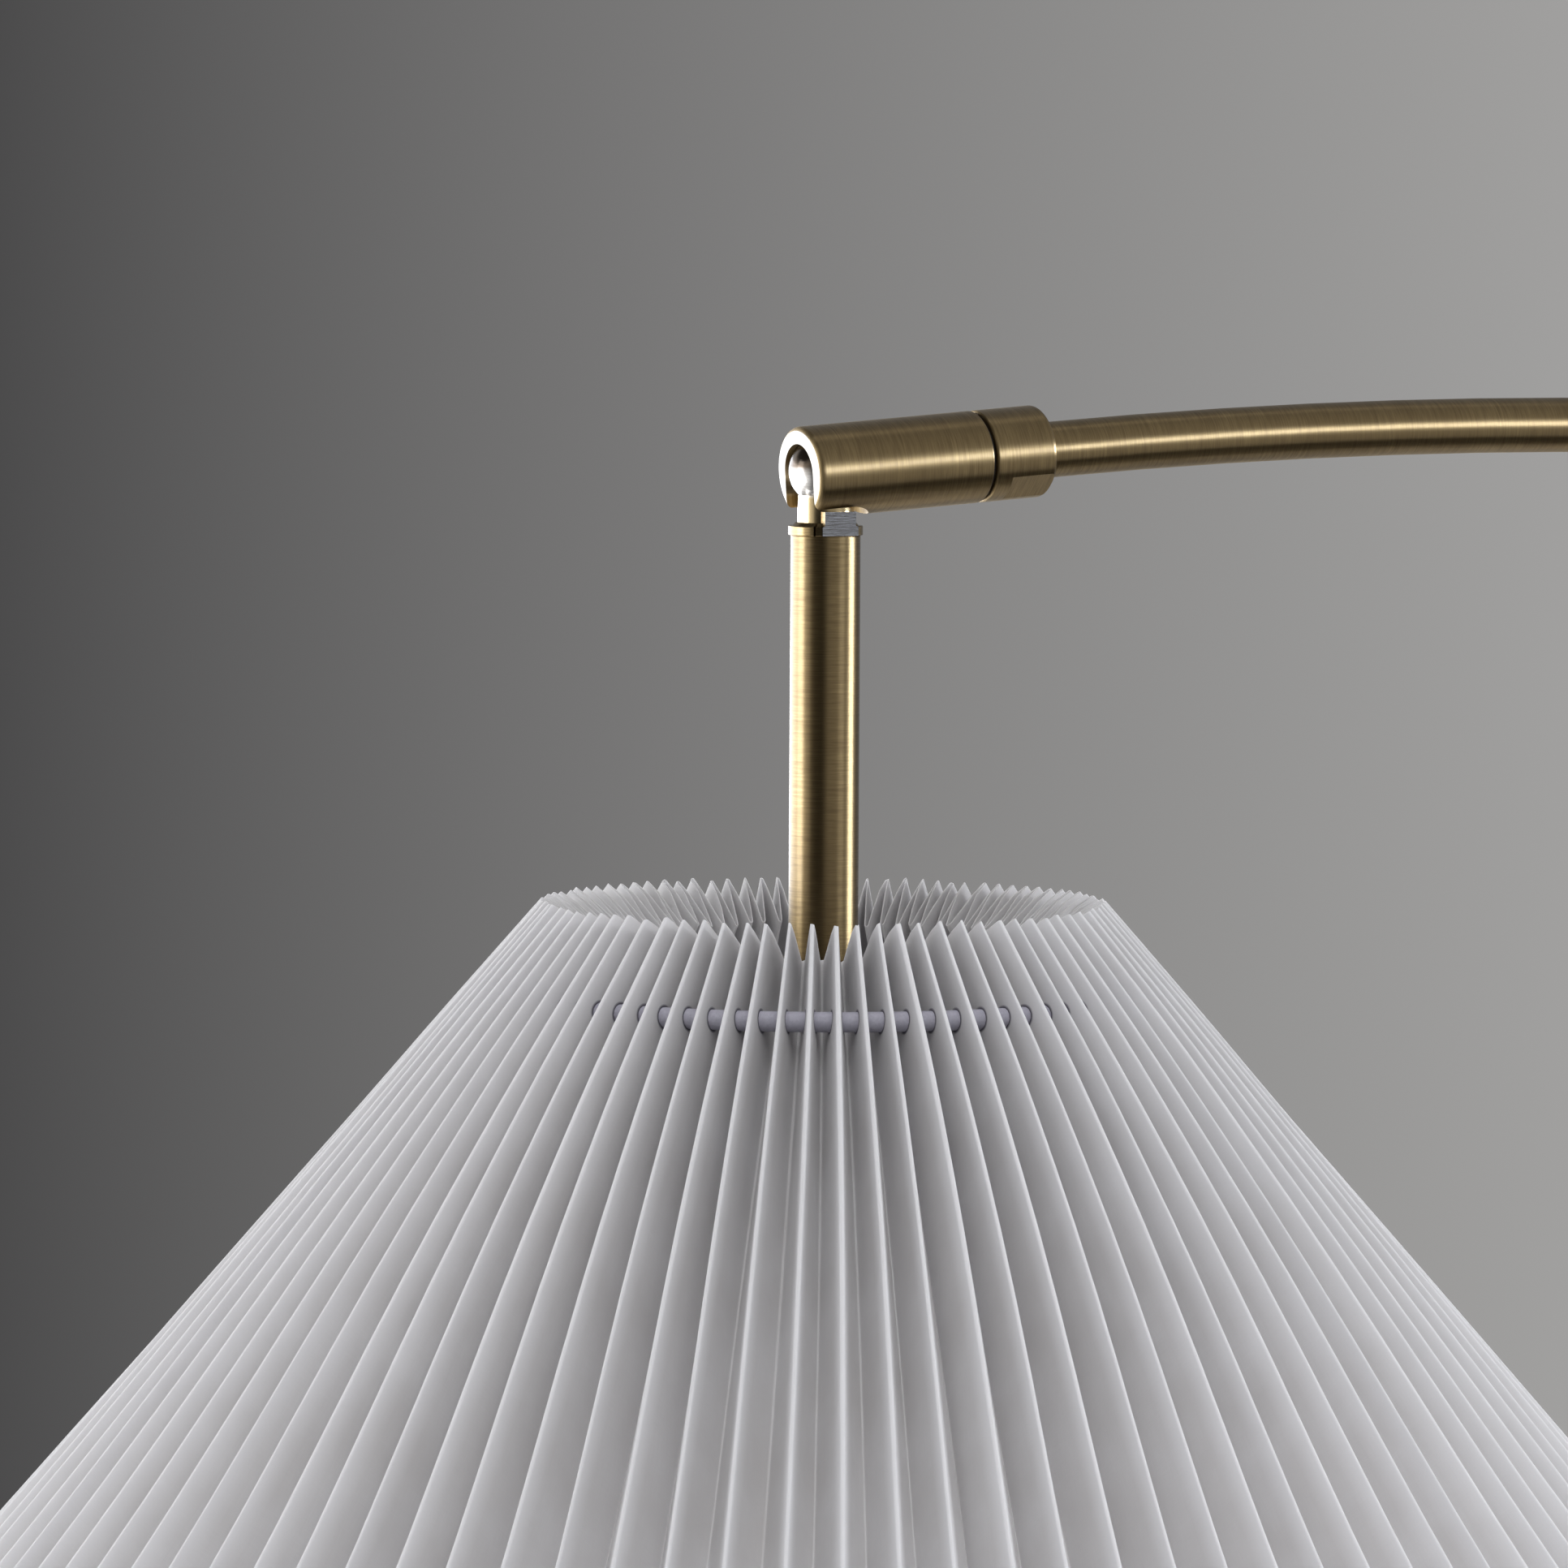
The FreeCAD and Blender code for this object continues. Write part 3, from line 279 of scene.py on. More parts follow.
# %% [markdown]
# ## Plastics, felt, iron and glass
# The other pieces are moulded, cast, painted, woven or blown. Each has a base tone, a noise
# that varies it, a roughness and a bump at its own scale: fibres in the felt, sand-cast pits
# in the iron weight, a soft orange peel in mouldings and paint.

# %% Plain finishes
def plain_finish(name, dark, light, smooth, dull, grain, depth, **more):
    """Colour, roughness and bump from one noise, whose grain is given in metres."""
    material, tree, shader = new_material(name, **more)
    cloud = noise(tree, place_on(tree), 1 / grain, 4.0, 0.6)
    slow = noise(tree, place_on(tree), 30.0, 2.0)
    tone = put(tree, "Math", {0: cloud, 1: slow}, operation="MULTIPLY").outputs[0]
    tree.links.new(blend(tree, spread(tree, tone, 0.12, 0.42, 0, 1), dark, light),
                   shader.inputs["Base Color"])
    tree.links.new(spread(tree, cloud, 0.3, 0.7, smooth, dull), shader.inputs["Roughness"])
    bump = put(tree, "Bump", {"Height": cloud, "Strength": 0.6, "Distance": depth})
    tree.links.new(bump.outputs[0], shader.inputs["Normal"])
    return material


felt = plain_finish("felt", (0.008, 0.009, 0.009, 1), (0.035, 0.036, 0.036, 1), 0.9, 1.0,
                    0.0012, 0.0004, Sheen_Weight=0.4)
iron = plain_finish("cast_weight", (0.022, 0.021, 0.020, 1), (0.05, 0.047, 0.044, 1), 0.6, 0.8,
                    0.0025, 0.0003, Metallic=0.6)
rubber = plain_finish("bushing", (0.012, 0.012, 0.012, 1), (0.028, 0.028, 0.028, 1), 0.5, 0.65,
                      0.0006, 0.00003)
nylon = plain_finish("nylon", (0.62, 0.61, 0.57, 1), (0.74, 0.73, 0.69, 1), 0.4, 0.55,
                     0.0008, 0.00002)
fibre = plain_finish("fibre", (0.010, 0.009, 0.009, 1), (0.030, 0.026, 0.024, 1), 0.6, 0.8,
                     0.0005, 0.00003)
phenolic = plain_finish("phenolic", (0.012, 0.011, 0.011, 1), (0.030, 0.028, 0.027, 1), 0.25,
                        0.38, 0.0010, 0.000015, Coat_Weight=0.3, Coat_Roughness=0.15)
painted_wire = plain_finish("white_wire", (0.44, 0.44, 0.48, 1), (0.60, 0.60, 0.64, 1), 0.4,
                            0.55, 0.0007, 0.00003)
opal = plain_finish("opal_glass", (0.78, 0.78, 0.76, 1), (0.86, 0.86, 0.84, 1), 0.28, 0.36,
                    0.004, 0.00002, Coat_Weight=0.5, Coat_Roughness=0.08)
print("felt, iron, rubber, nylon, fibre, moulding, paint and opal glass")

# %% [markdown]
# ## Dress the solids
# Each solid gets its finish in its own material slot. The meshes themselves are left alone.

# %% Dress the solids
DRESS = {
    "antique_brass_upright": (brass_upright, "pole_lower pole_upper pole_coupler drop_tube"),
    "antique_brass_arm": (brass_arm, "arm_tube arm_root end_collar"),
    "antique_brass_housing": (brass_housing, "swivel_housing"),
    "antique_brass_ring": (brass_ring, "stop_ring"),
    "antique_brass_spun": (brass_spun, "base_cover pole_foot pole_cap swivel_fork"),
    "antique_brass_knob": (brass_knob, "clamp_knob tilt_bolt"),
    "antique_brass_socket": (brass_socket, "socket_cap"),
    "plated_steel": (steel, "base_nipple base_nut base_washer pole_plug neck_clip disc_spring "
                            "roll_nut roll_spindle switch_stem swivel_nut swivel_spring"),
    "raw_brass": (raw_brass, "centre_contact pressure_ring screw_shell tube_bush"),
    "bulb_cap": (bulb_cap, "bulb_base"),
    "polished_nickel": (nickel, "ball_stud"),
    "felt": (felt, "base_felt"),
    "cast_weight": (iron, "base_weight"),
    "bushing": (rubber, "cord_bushing"),
    "nylon": (nylon, "ball_seat knob_washer roll_washer tilt_washers"),
    "fibre": (fibre, "groove_washer swivel_washer"),
    "phenolic": (phenolic, "socket_body socket_ring_nut switch_knob"),
    "white_wire": (painted_wire, "shade_carrier"),
    "opal_glass": (opal, "bulb_glass"),
}
for material, names in DRESS.values():
    for name in names.split():
        for slot in nodes[name].material_slots:
            slot.material = material
undressed = set(nodes) - {n for _, names in DRESS.values() for n in names.split()}
print(f"left for new pieces: {sorted(undressed)}")

# %% [markdown]
# ## Helper for grids
# A new piece is a sheet of points worked out all at once by numpy, row by row, and joined
# by four-sided faces. The sheet may close on itself round either direction.

# %% Grid helper
def grid_piece(name, points, closed_rows=False, closed_columns=False, flip=False):
    """A mesh from an array of rows x columns x 3 points, with faces between neighbours."""
    rows, columns = points.shape[:2]
    index = np.arange(rows * columns).reshape(rows, columns)
    if closed_rows:
        index = np.concatenate([index, index[:1]])
    if closed_columns:
        index = np.concatenate([index, index[:, :1]], axis=1)
    quads = np.stack([index[:-1, :-1], index[:-1, 1:], index[1:, 1:], index[1:, :-1]], -1)
    quads = quads.reshape(-1, 4)[:, ::-1 if flip else 1]
    mesh = bpy.data.meshes.new(name)
    mesh.vertices.add(rows * columns)
    mesh.vertices.foreach_set("co", points.reshape(-1).astype(np.float32))
    mesh.loops.add(quads.size)
    mesh.loops.foreach_set("vertex_index", quads.reshape(-1))
    mesh.polygons.add(len(quads))
    mesh.polygons.foreach_set("loop_start", np.arange(0, quads.size, 4))
    mesh.polygons.foreach_set("use_smooth", np.ones(len(quads), bool))
    mesh.update(calc_edges=True)
    mesh.validate()
    piece = bpy.data.objects.new(name, mesh)
    bpy.context.scene.collection.objects.link(piece)
    return piece


# %% [markdown]
# ## The pleated shade
# The shade is one strip of stiffened white cloth, folded into 88 knife pleats and gathered
# into a cone. Each pleat is two flat panels between a mountain fold and a valley fold, and
# the folds are tiny half rounds, not sharp creases. A cloth simulation would soften those
# folds away, so the zigzag is worked out: across the shade a point follows a small arc over
# the mountain, a straight panel, a small arc through the valley and a straight panel back.
# Down the shade the pleats open, because each panel keeps its width while the cone grows.
# Hand pleating is never exact, so seeded noise leans and shifts the folds a little, most of
# all at the top, and one seam joins the strip's ends with two wider pleats.

# %% Fold the cloth
RIM_DROP, RIM_RADIUS, SHADE_HEIGHT = 0.0972, 0.0634, 0.158
TILT, PLEATS, PANEL = math.radians(41.15), 88, 0.0153
FOLD, CLOTH = 0.00040, 0.00024
SLANT = SHADE_HEIGHT / math.cos(TILT)
chance = np.random.default_rng(7)


def smooth_step(value, low, high):
    """0 below low, 1 above high, and a smooth S between."""
    share = np.clip((value - low) / (high - low), 0, 1)
    return share * share * (3 - 2 * share)


def pleat_profile(radius):
    """One pleat at each radius of a column array: rows x columns of (share of the pleat, depth,
    heading). The path is an arc of heading -h to h over the mountain, then a straight panel, an
    arc h to -h through the valley and a panel back. The heading h of the panel is the slope of
    the line that touches both arcs from inside."""
    half = math.pi * radius / PLEATS
    depth = np.sqrt(PANEL ** 2 - half ** 2)
    heading = (np.arctan2(depth - 2 * FOLD, half)
               + np.arcsin(2 * FOLD / np.hypot(half, depth - 2 * FOLD)))
    mountain = np.linspace(0, 1, 4)[None, :] * heading
    valley = np.linspace(1, -1, 7)[None, :] * heading
    rising = np.linspace(-1, 0, 4)[None, :-1] * heading
    over = np.stack([FOLD * np.sin(mountain), FOLD * (1 - np.cos(mountain)), mountain])
    under = np.stack([half - FOLD * np.sin(valley), depth - FOLD * (1 - np.cos(valley)), valley])
    again = np.stack([2 * half + FOLD * np.sin(rising), FOLD * (1 - np.cos(rising)), rising])
    share = np.array([0.3, 0.7])[None, :]
    down = over[:, :, -1:] * (1 - share) + under[:, :, :1] * share
    back_up = under[:, :, -1:] * (1 - share) + again[:, :, :1] * share
    down[2], back_up[2] = heading, -heading
    across, inward, turn = np.concatenate([over, down, under, back_up, again], axis=2)
    return across / (2 * half), inward, turn, depth


slant_rows = np.array([0, 0.25, 0.6, 1.1, 1.8, 3, 5, 8, 12, 17, 24, 32, 42, 54, 68, 84, 102, 122,
                       144, 168, 190, 203, 208, SLANT * 1000]) / 1000
down_row = slant_rows[:, None]
bulge = 0.0004 * (1 - smooth_step(down_row, 0.030, 0.070))
cone_radius = RIM_RADIUS + bulge + down_row * math.sin(TILT)
share, inward, turn, depth = pleat_profile(cone_radius)
columns = share.shape[1]
print(f"{columns} points across a pleat, {len(slant_rows)} rows down, {PLEATS} pleats")

# %% [markdown]
# Now every pleat gets its own small faults. Each fold has a sideways shift and a depth of its
# own, drawn once for the rim and once for the hem, and the points between two folds share
# the faults of both. The rim's corners are cut blunt.

# %% Give each fold its faults
fold_place = (np.arange(PLEATS)[None, :, None] * 2 + share[:, None, :] * 2)
fold_before = np.floor(fold_place).astype(int)
between = fold_place - fold_before
depth_share = inward / depth


def fault(size_rim, size_hem):
    """Random size for each of the 176 folds, fading from a rim value to a hem value."""
    rim, hem = chance.normal(0, 1, (2, 2 * PLEATS))
    rim = rim * size_rim
    hem = (0.6 * hem + 0.4 * np.sign(rim)) * size_hem
    sink = np.exp(-down_row / 0.045)
    table = rim[None, :] * sink + hem[None, :] * (1 - sink)
    rows = np.arange(len(slant_rows))[:, None, None]
    first = table[rows, fold_before % (2 * PLEATS)]
    second = table[rows, (fold_before + 1) % (2 * PLEATS)]
    return first * (1 - between) + second * between


SEAM_FOLD = 11
FRONT, FIRST_FOLD, DRIFT = (math.radians(a) for a in (241.5, 2.18, -0.7))
sideways = fault(0.00048, 0.00055)
sunk = np.abs(fault(0.00035, 0.00030))
seam = np.exp(-((fold_place - SEAM_FOLD) / 1.6) ** 2)
seam_lean = 0.0011 * seam * np.sin((fold_place - SEAM_FOLD) * 1.4)
down_share = down_row[:, :, None] / SLANT
from_front = fold_place * math.pi / PLEATS + FIRST_FOLD - FRONT
crowding = 0.09 - 0.13 * smooth_step(down_share, 0.1, 1.0)
angle = (FRONT + from_front + crowding * np.sin(from_front) + DRIFT * down_share
         + (sideways + seam_lean) / cone_radius[:, :, None])
belly = fault(0.00008, 0.00040) - 0.0002 * np.exp(-down_row / 0.030)[:, :, None]
belly = belly * np.sin(math.pi * between)
blunt = 0.0007 * np.exp(-(inward / 0.0011) ** 2)[:, None, :]
ragged = np.abs(fault(0.00045, 0.0)) + 0.00012 * np.sin(fold_place * 9.7)
top_drop = (blunt + ragged) * np.exp(-down_row / 0.004)[:, :, None]
print("sideways faults up to", round(float(np.abs(sideways).max()) * 1000, 2), "mm")

# %% [markdown]
# The cloth has two faces, each half its thickness from the middle of the wall, along the
# direction square to the heading. Going down the outside and back up the inside gives one
# closed wall, which closes on itself round the shade too.

# %% Sew the shade
def wall_face(side):
    """Points of one face: across the cone by angle, inward square to the cone's side."""
    depth_in = inward[:, None, :] + sunk - side * CLOTH / 2 * np.cos(turn)[:, None, :] + 0 * angle
    shift = side * CLOTH / 2 * np.sin(turn)[:, None, :] + belly * np.sin(turn)[:, None, :]
    depth_in = depth_in - belly * np.cos(turn)[:, None, :]
    slant = down_row[:, :, None] + top_drop
    radius = (RIM_RADIUS + bulge[:, :, None] + slant * math.sin(TILT)
              - depth_in * math.cos(TILT))
    around = angle + shift / cone_radius[:, :, None]
    height = -RIM_DROP - slant * math.cos(TILT) - depth_in * math.sin(TILT)
    cloud = np.stack([BALL.x + radius * np.cos(around), BALL.y + radius * np.sin(around),
                      BALL.z + height + 0 * around], -1)
    return cloud.reshape(len(slant_rows), -1, 3)


outside, inside = wall_face(1.0), wall_face(-1.0)
shade = grid_piece("pleated_shade", np.concatenate([outside, inside[::-1]]), closed_rows=True,
                   closed_columns=True)
strip = np.broadcast_to(
    (np.arange(PLEATS)[None, :, None] * 2 * PANEL
     + (2 * PANEL * (depth_share / 2 + (share > 0.5) * (1 - depth_share)))[:, None, :]),
    angle.shape).reshape(len(slant_rows), -1)
ridge = np.broadcast_to(np.exp(-(inward / 0.0005) ** 2)[:, None, :], angle.shape)
ridge = ridge.reshape(len(slant_rows), -1)
for name, values in (("ridge", ridge), ("strip", strip),
                     ("down", np.broadcast_to(down_row, strip.shape))):
    layer = shade.data.attributes.new(name, "FLOAT", "POINT")
    layer.data.foreach_set("value", np.concatenate([values, values[::-1]]).ravel()
                           .astype(np.float32))
print(f"shade of {len(shade.data.polygons)} faces, strip {2 * PLEATS * PANEL:.3f} m long")

# %% [markdown]
# ## Pleated cloth
# The cloth is a close white weave stiffened with a backing, so it shines very little and
# lets some light through. Fold ridges are painted paler, as a painted highlight along each
# fold with a little rubbed wear. The weave and the slubs follow the strip itself, in metres
# along and down it, which the shade carries as two attributes, so they turn with every
# panel. A translucent shader mixed with the plain one passes light.

# %% Pleated cloth
HOOP_RADIUS, HOOP_DROP, HOOP_BAR = 0.0745, 0.1190, 0.0023
LET_THROUGH = 0.46
cloth, tree, shader = new_material("pleated_cloth", Roughness=0.85, Sheen_Weight=0.15,
                                   Sheen_Roughness=0.4, Specular_IOR_Level=0.2)
along = put(tree, "Attribute", attribute_name="strip").outputs["Fac"]
downward = put(tree, "Attribute", attribute_name="down").outputs["Fac"]
ridge_highlight_and_wear = put(tree, "Attribute", attribute_name="ridge").outputs["Fac"]
spot = put(tree, "CombineXYZ", {"X": along, "Y": downward}).outputs[0]
slub = noise(tree, put(tree, "VectorMath", {0: spot, 1: (2600, 160, 0)},
                       operation="MULTIPLY").outputs[0], 1.0, 2.0)
weft = noise(tree, put(tree, "VectorMath", {0: spot, 1: (220, 3000, 0)},
                       operation="MULTIPLY").outputs[0], 1.0, 2.0)
weave = put(tree, "Math", {0: slub, 1: weft}, operation="ADD").outputs[0]
cloudy = noise(tree, place_on(tree), 60.0, 3.0)
panel_tone = blend(tree, spread(tree, cloudy, 0.3, 0.7, 0, 1), (0.80, 0.79, 0.795, 1),
                   (0.85, 0.845, 0.855, 1))
panel_tone = blend(tree, spread(tree, weave, 0.7, 1.3, 0, 0.25), panel_tone,
                   (0.74, 0.73, 0.74, 1))
height = put(tree, "SeparateXYZ", {0: place_on(tree, tuple(BALL))}).outputs["Z"]
reach = put(tree, "VectorMath", {0: place_on(tree, tuple(BALL), stretch=(1, 1, 1e9))},
            operation="LENGTH").outputs["Value"]
aside = put(tree, "Math", {0: reach, 1: HOOP_RADIUS}, operation="SUBTRACT").outputs[0]
below = put(tree, "Math", {0: height, 1: HOOP_DROP}, operation="ADD").outputs[0]
from_bar = put(tree, "VectorMath", {0: put(tree, "CombineXYZ", {"X": aside, "Y": below})
                                    .outputs[0]}, operation="LENGTH").outputs["Value"]
# Painted shadow: a dark ring on the cloth round the hoop's bar stands for the shadowed gap of each
# punched hole, which is not cut.
painted_hole_shadow = spread(tree, from_bar, HOOP_BAR + 0.0002, HOOP_BAR + 0.0007, 1.0, 0.0)
# Painted highlight: the fold ridges are made paler, with a little rubbed wear.
cloth_tone = blend(tree, ridge_highlight_and_wear, panel_tone, (0.93, 0.93, 0.95, 1))
cloth_tone = blend(tree, painted_hole_shadow, cloth_tone, (0.20, 0.19, 0.23, 1))
tree.links.new(cloth_tone, shader.inputs["Base Color"])
bump = put(tree, "Bump", {"Height": weave, "Strength": 0.35, "Distance": 0.00005})
tree.links.new(bump.outputs[0], shader.inputs["Normal"])
glow = put(tree, "BsdfTranslucent", {"Color": cloth_tone})
mixed = put(tree, "MixShader", {0: LET_THROUGH, 1: shader.outputs[0], 2: glow.outputs[0]})
tree.links.new(mixed.outputs[0], tree.nodes["Material Output"].inputs["Surface"])
shade.data.materials.append(cloth)
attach(shade, "lamp")
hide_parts("shade_pleats")
print("cloth on the shade")

# %% [markdown]
# ## The threaded hoop
# Halfway into the pleats a painted hoop runs through a hole punched in every panel, and
# keeps the folds evenly spaced. It is a plain round bar bent to a ring: a small circle
# carried round a large one. The pleats alone carry it. The holes are not cut: a dark ring of
# painted shadow on the cloth round the bar stands for each.

# %% Thread the hoop
def bar_ring(name, radius, thickness, height, steps=176, sides=14):
    """A circle of `thickness` carried round a circle of `radius` at one height."""
    round_about = np.linspace(0, 2 * math.pi, steps, endpoint=False)[:, None]
    over = np.linspace(0, 2 * math.pi, sides, endpoint=False)[None, :]
    reach = radius + thickness * np.cos(over)
    cloud = np.stack([BALL.x + reach * np.cos(round_about), BALL.y + reach * np.sin(round_about),
                      height + thickness * np.sin(over) + 0 * round_about], -1)
    return grid_piece(name, cloud, closed_rows=True, closed_columns=True)


hoop = bar_ring("shade_hoop", HOOP_RADIUS, HOOP_BAR, BALL.z - HOOP_DROP)
hoop_paint = plain_finish("hoop_paint", (0.34, 0.33, 0.40, 1), (0.46, 0.45, 0.52, 1), 0.4,
                          0.55, 0.0007, 0.00003)
hoop.data.materials.append(hoop_paint)
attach(hoop, "lamp")
print("hoop of", len(hoop.data.polygons), "faces")

# %% [markdown]
# ## The socket's cap
# Under the shade's rim the tube ends in a spun cap that covers the socket. Its outline is
# carried round the tube's axis: a low collar, a dome and a straight skirt, and the same path
# back inside, so that the cap has a wall.

# %% Spin the cap
def spun_piece(name, outline, steps=96):
    """Closed outline of (distance from the axis, height over the ball), carried round Z."""
    outline = np.array(outline, float) / 1000
    turn = np.linspace(0, 2 * math.pi, steps, endpoint=False)[:, None]
    cloud = np.stack([BALL.x + outline[:, 0] * np.cos(turn),
                      BALL.y + outline[:, 0] * np.sin(turn),
                      BALL.z + outline[:, 1] + 0 * turn], -1)
    return grid_piece(name, cloud, closed_rows=True, closed_columns=True, flip=True)


dome = [(17.0 + 5.0 * math.sin(a), -117.2 + 4.4 * math.cos(a)) for a in np.linspace(0, 1.57, 8)]
cap = spun_piece("socket_cap_dome", [
    (8.06, -113.2), (8.06, -111.3), (8.2, -111.2), (10.1, -111.2), (10.4, -111.5),
    (10.6, -112.2), (12.0, -112.5)] + dome + [
    (22.0, -119.7), (21.9, -119.85), (20.9, -119.85), (20.8, -119.7), (20.8, -117.6),
    (19.5, -115.0), (16.6, -113.8), (12.0, -113.3)])
cap.data.materials.append(brass_socket)
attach(cap, "lamp")
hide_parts("socket_cap")
print("cap of", len(cap.data.polygons), "faces")

# %% [markdown]
# ## Floor
# The lamp stands on a plain pale floor. A disc is enough, and its edge fades away so that it
# melts into the backdrop. Its back is clear, which was meant to show the lamp from below. But
# the disc's faces look down, so it is the wrong way round: from above the floor is missing,
# with the shadow on it, and from below it hides the lamp. With flip=True the faces look up.

# %% Lay the floor
rings = np.linspace(0.0, 2.6, 14)[:, None] + 1e-4
around = np.linspace(0, 2 * math.pi, 72, endpoint=False)[None, :]
disc = np.stack([rings * np.cos(around), rings * np.sin(around), 0 * rings + 0 * around], -1)
floor = grid_piece("floor", disc, closed_columns=True)
pale, tree, shader = new_material("pale_floor", Roughness=0.7, Specular_IOR_Level=0.2)
tree.links.new(blend(tree, noise(tree, place_on(tree), 3.0), grey(0.50), grey(0.54)),
               shader.inputs["Base Color"])
reach = put(tree, "VectorMath", {0: place_on(tree)}, operation="LENGTH").outputs["Value"]
fade = spread(tree, reach, 1.2, 2.5, 0.0, 1.0)
back_of_disc = put(tree, "NewGeometry").outputs["Backfacing"]
fade = put(tree, "Math", {0: fade, 1: back_of_disc}, operation="MAXIMUM").outputs[0]
clear = put(tree, "BsdfTransparent")
tree.links.new(put(tree, "MixShader", {0: fade, 1: shader.outputs[0], 2: clear.outputs[0]})
               .outputs[0], tree.nodes["Material Output"].inputs["Surface"])
floor.data.materials.append(pale)
print("floor laid")

# %% [markdown]
# ## Studio light
# The room is an even grey, which fills every shadow. Cloth and metal need different light, so
# each has lamps of its own. The cloth is lit softly from the right, from behind on the left
# and from above. Polished metal shows what stands round it, so the metal gets a studio to
# mirror: a bright sheet on the left, a small strong strip on the right that draws the thin
# line down the tube and along the arm, weak strips above and below, a dark band on the left
# of the camera and a black card low on its right. The backdrop that the camera sees is a calm
# grey, lighter on the right.

# %% Light the studio
world = bpy.data.worlds.new("studio")
world.use_nodes = True
bpy.context.scene.world = world
tree = world.node_tree
sky = tree.nodes["Background"]
facing = put(tree, "TexCoord").outputs["Generated"]

flat = put(tree, "VectorMath", {0: facing, 1: (1, 1, 0)}, operation="MULTIPLY").outputs[0]
level_look = put(tree, "VectorMath", {0: flat}, operation="NORMALIZE").outputs[0]


def toward(azimuth, elevation=0.0, looking=facing):
    """How far a ray looks towards a direction: 1 straight at it, 0 square to it."""
    axis = tuple(direction(math.radians(azimuth), math.radians(elevation)))
    return put(tree, "VectorMath", {0: looking, 1: axis}, operation="DOT_PRODUCT").outputs["Value"]


def near(azimuth, elevation, outer, inner, looking=facing):
    """1 within the inner angle of a direction and 0 beyond the outer one, in degrees."""
    return spread(tree, toward(azimuth, elevation, looking), math.cos(math.radians(outer)),
                  math.cos(math.radians(inner)), 0.0, 1.0)


def patch(room, azimuth, elevation, outer, inner, level, looking=facing):
    """A round stretch of another grey with a soft edge. With the level part of the direction
    as `looking`, it is an upright band."""
    return blend(tree, near(azimuth, elevation, outer, inner, looking), room, grey(level))


# Each patch: azimuth, elevation, outer and inner angle, and level.
room = patch(grey(0.52), 125, 0, 38, 24, 0.20)
mirrored = blend(tree, spread(tree, toward(40), -0.2, 1.0, 0, 1), grey(0.30), grey(0.66))
mirrored = patch(mirrored, -125, 0, 54, 20, 2.2)
mirrored = patch(mirrored, -48, 0, 31, 12, 0.05, level_look)
mirrored = patch(mirrored, -125, 45, 38, 26, 0.10)
mirrored = patch(mirrored, 125, 0, 38, 24, 0.20)
WALL_LEFT, WALL_RIGHT = (0.062, 0.061, 0.062, 1), (0.365, 0.36, 0.355, 1)
WALL_ELSEWHERE = (0.30, 0.297, 0.294, 1)
across_view = put(tree, "VectorMath", {0: facing, 1: tuple(right)},
                  operation="DOT_PRODUCT").outputs["Value"]
wall = blend(tree, spread(tree, across_view, -0.085, 0.085, 0, 1), WALL_LEFT, WALL_RIGHT)
behind = near(180 + math.degrees(AZIMUTH), -math.degrees(ELEVATION), 26, 12)
wall = blend(tree, behind, WALL_ELSEWHERE, wall)
path = put(tree, "LightPath")
seen = blend(tree, path.outputs["Is Glossy Ray"], room, mirrored)
seen = blend(tree, path.outputs["Is Camera Ray"], seen, wall)
tree.links.new(seen, sky.inputs["Color"])
sky.inputs["Strength"].default_value = 1.0


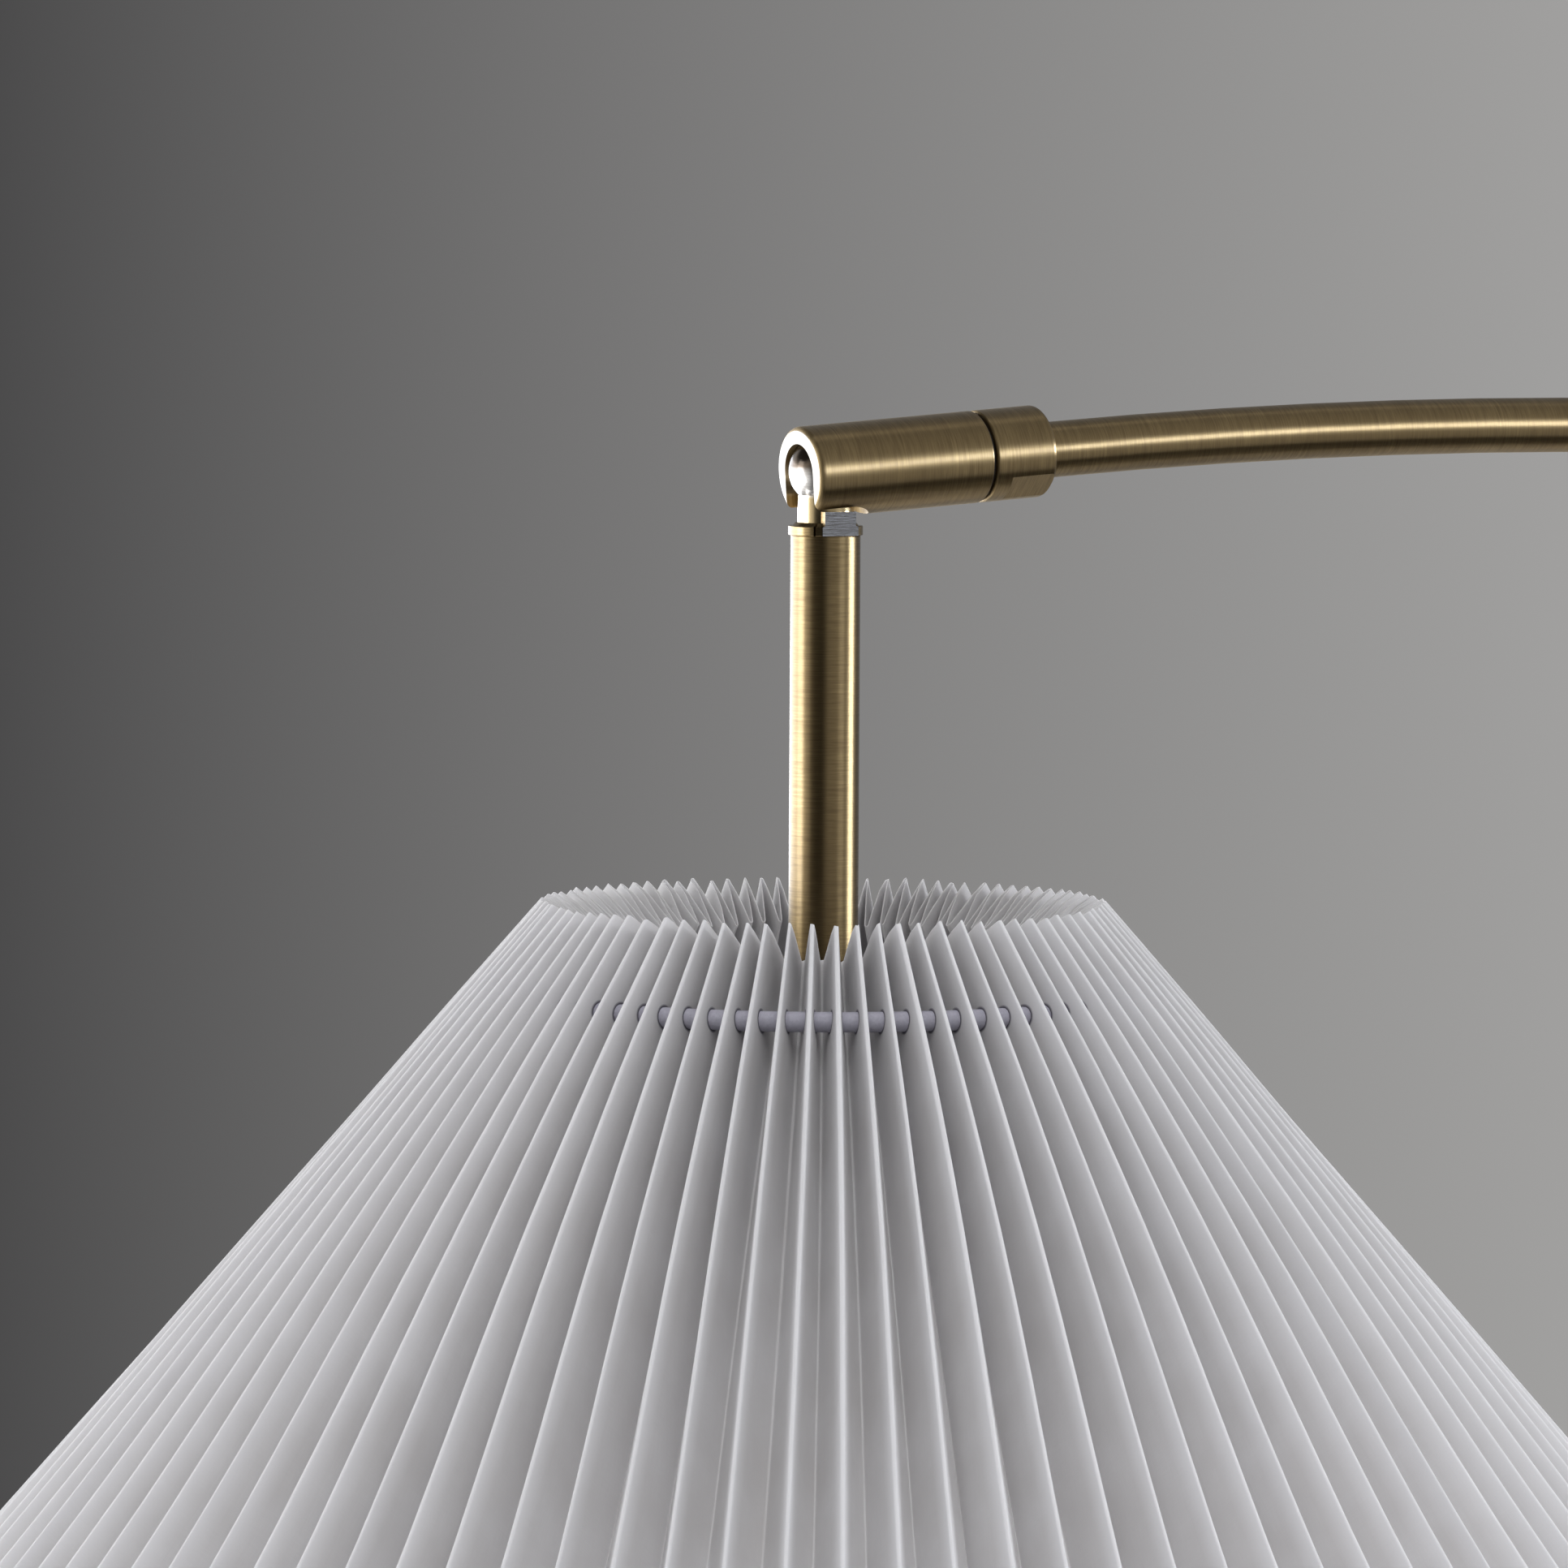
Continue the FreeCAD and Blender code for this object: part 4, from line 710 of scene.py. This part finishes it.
def soft_lamp(name, azimuth, elevation, distance, width, height, radiance, colour=(1, 1, 1),
              cloth=True, metal=True):
    """A flat soft lamp facing the ball. Its power is its radiance times its area times pi.
    It can be kept off the cloth or out of the metal's reflections."""
    light = bpy.data.lights.new(name, "AREA")
    light.shape, light.size, light.size_y = "RECTANGLE", width, height
    light.energy = radiance * width * height * math.pi
    light.color = colour
    lamp = bpy.data.objects.new(name, light)
    out = direction(math.radians(azimuth), math.radians(elevation))
    lamp.location = BALL + out * distance
    lamp.rotation_euler = out.to_track_quat("Z", "Y").to_euler()
    lamp.visible_camera = False
    lamp.visible_diffuse, lamp.visible_glossy = cloth, metal
    lamp.visible_transmission = cloth
    bpy.context.scene.collection.objects.link(lamp)


COOL, WARM = (0.97, 0.98, 1.0), (1.0, 0.985, 0.95)
STRIP, SHEET = (0.88, 0.97, 1.15), (0.93, 0.98, 1.08)
# Each lamp: azimuth, elevation, distance, width, height and radiance.
soft_lamp("lamp_right", 62, 4, 2.2, 0.5, 0.85, 12.0, COOL, metal=False)
soft_lamp("strip_right", 70, 6, 2.2, 0.80, 0.44, 50.0, STRIP, cloth=False)
soft_lamp("strip_front", 30, 6, 2.2, 0.8, 0.34, 5.4, STRIP, cloth=False)
soft_lamp("lamp_left", -143, -14, 2.1, 4.2, 1.6, 2.5, WARM, metal=False)
soft_lamp("sheet_left", -146, -12, 2.1, 4.2, 1.8, 4.1, SHEET, cloth=False)
soft_lamp("strip_left", -116, -4, 1.9, 0.7, 1.8, 3.4, SHEET, cloth=False)
soft_lamp("lamp_top", -25, 62, 2.2, 2.2, 2.2, 1.6, metal=False)
soft_lamp("strip_top", 28, 88, 2.2, 0.5, 0.5, 2.0, cloth=False)
soft_lamp("strip_low", 208, -72, 1.0, 1.0, 0.9, 2.2, cloth=False)
CARD_HALF_WIDTH, CARD_HALF_HEIGHT, CARD_DISTANCE = 0.9, 0.22, 0.8
flag = grid_piece("black_card", np.array(
    [[[x, y, 0] for x in (-CARD_HALF_WIDTH, CARD_HALF_WIDTH)]
     for y in (-CARD_HALF_HEIGHT, CARD_HALF_HEIGHT)]))
out = direction(math.radians(28), math.radians(-50))
flag.data.transform(Matrix.Translation(BALL + out * CARD_DISTANCE) @ out.to_track_quat("Z", "X")
                    .to_matrix().to_4x4() @ Matrix.Rotation(math.radians(90), 4, "Z"))
black, _, _ = new_material("black_card", Base_Color=grey(0.01), Roughness=0.9)
flag.data.materials.append(black)
flag.visible_camera = flag.visible_diffuse = flag.visible_shadow = False
print("studio lit")

# %% [markdown]
# ## View transform
# The picture is shown with the standard view transform.

# %% Set the view transform
bpy.context.scene.view_settings.view_transform = "Standard"
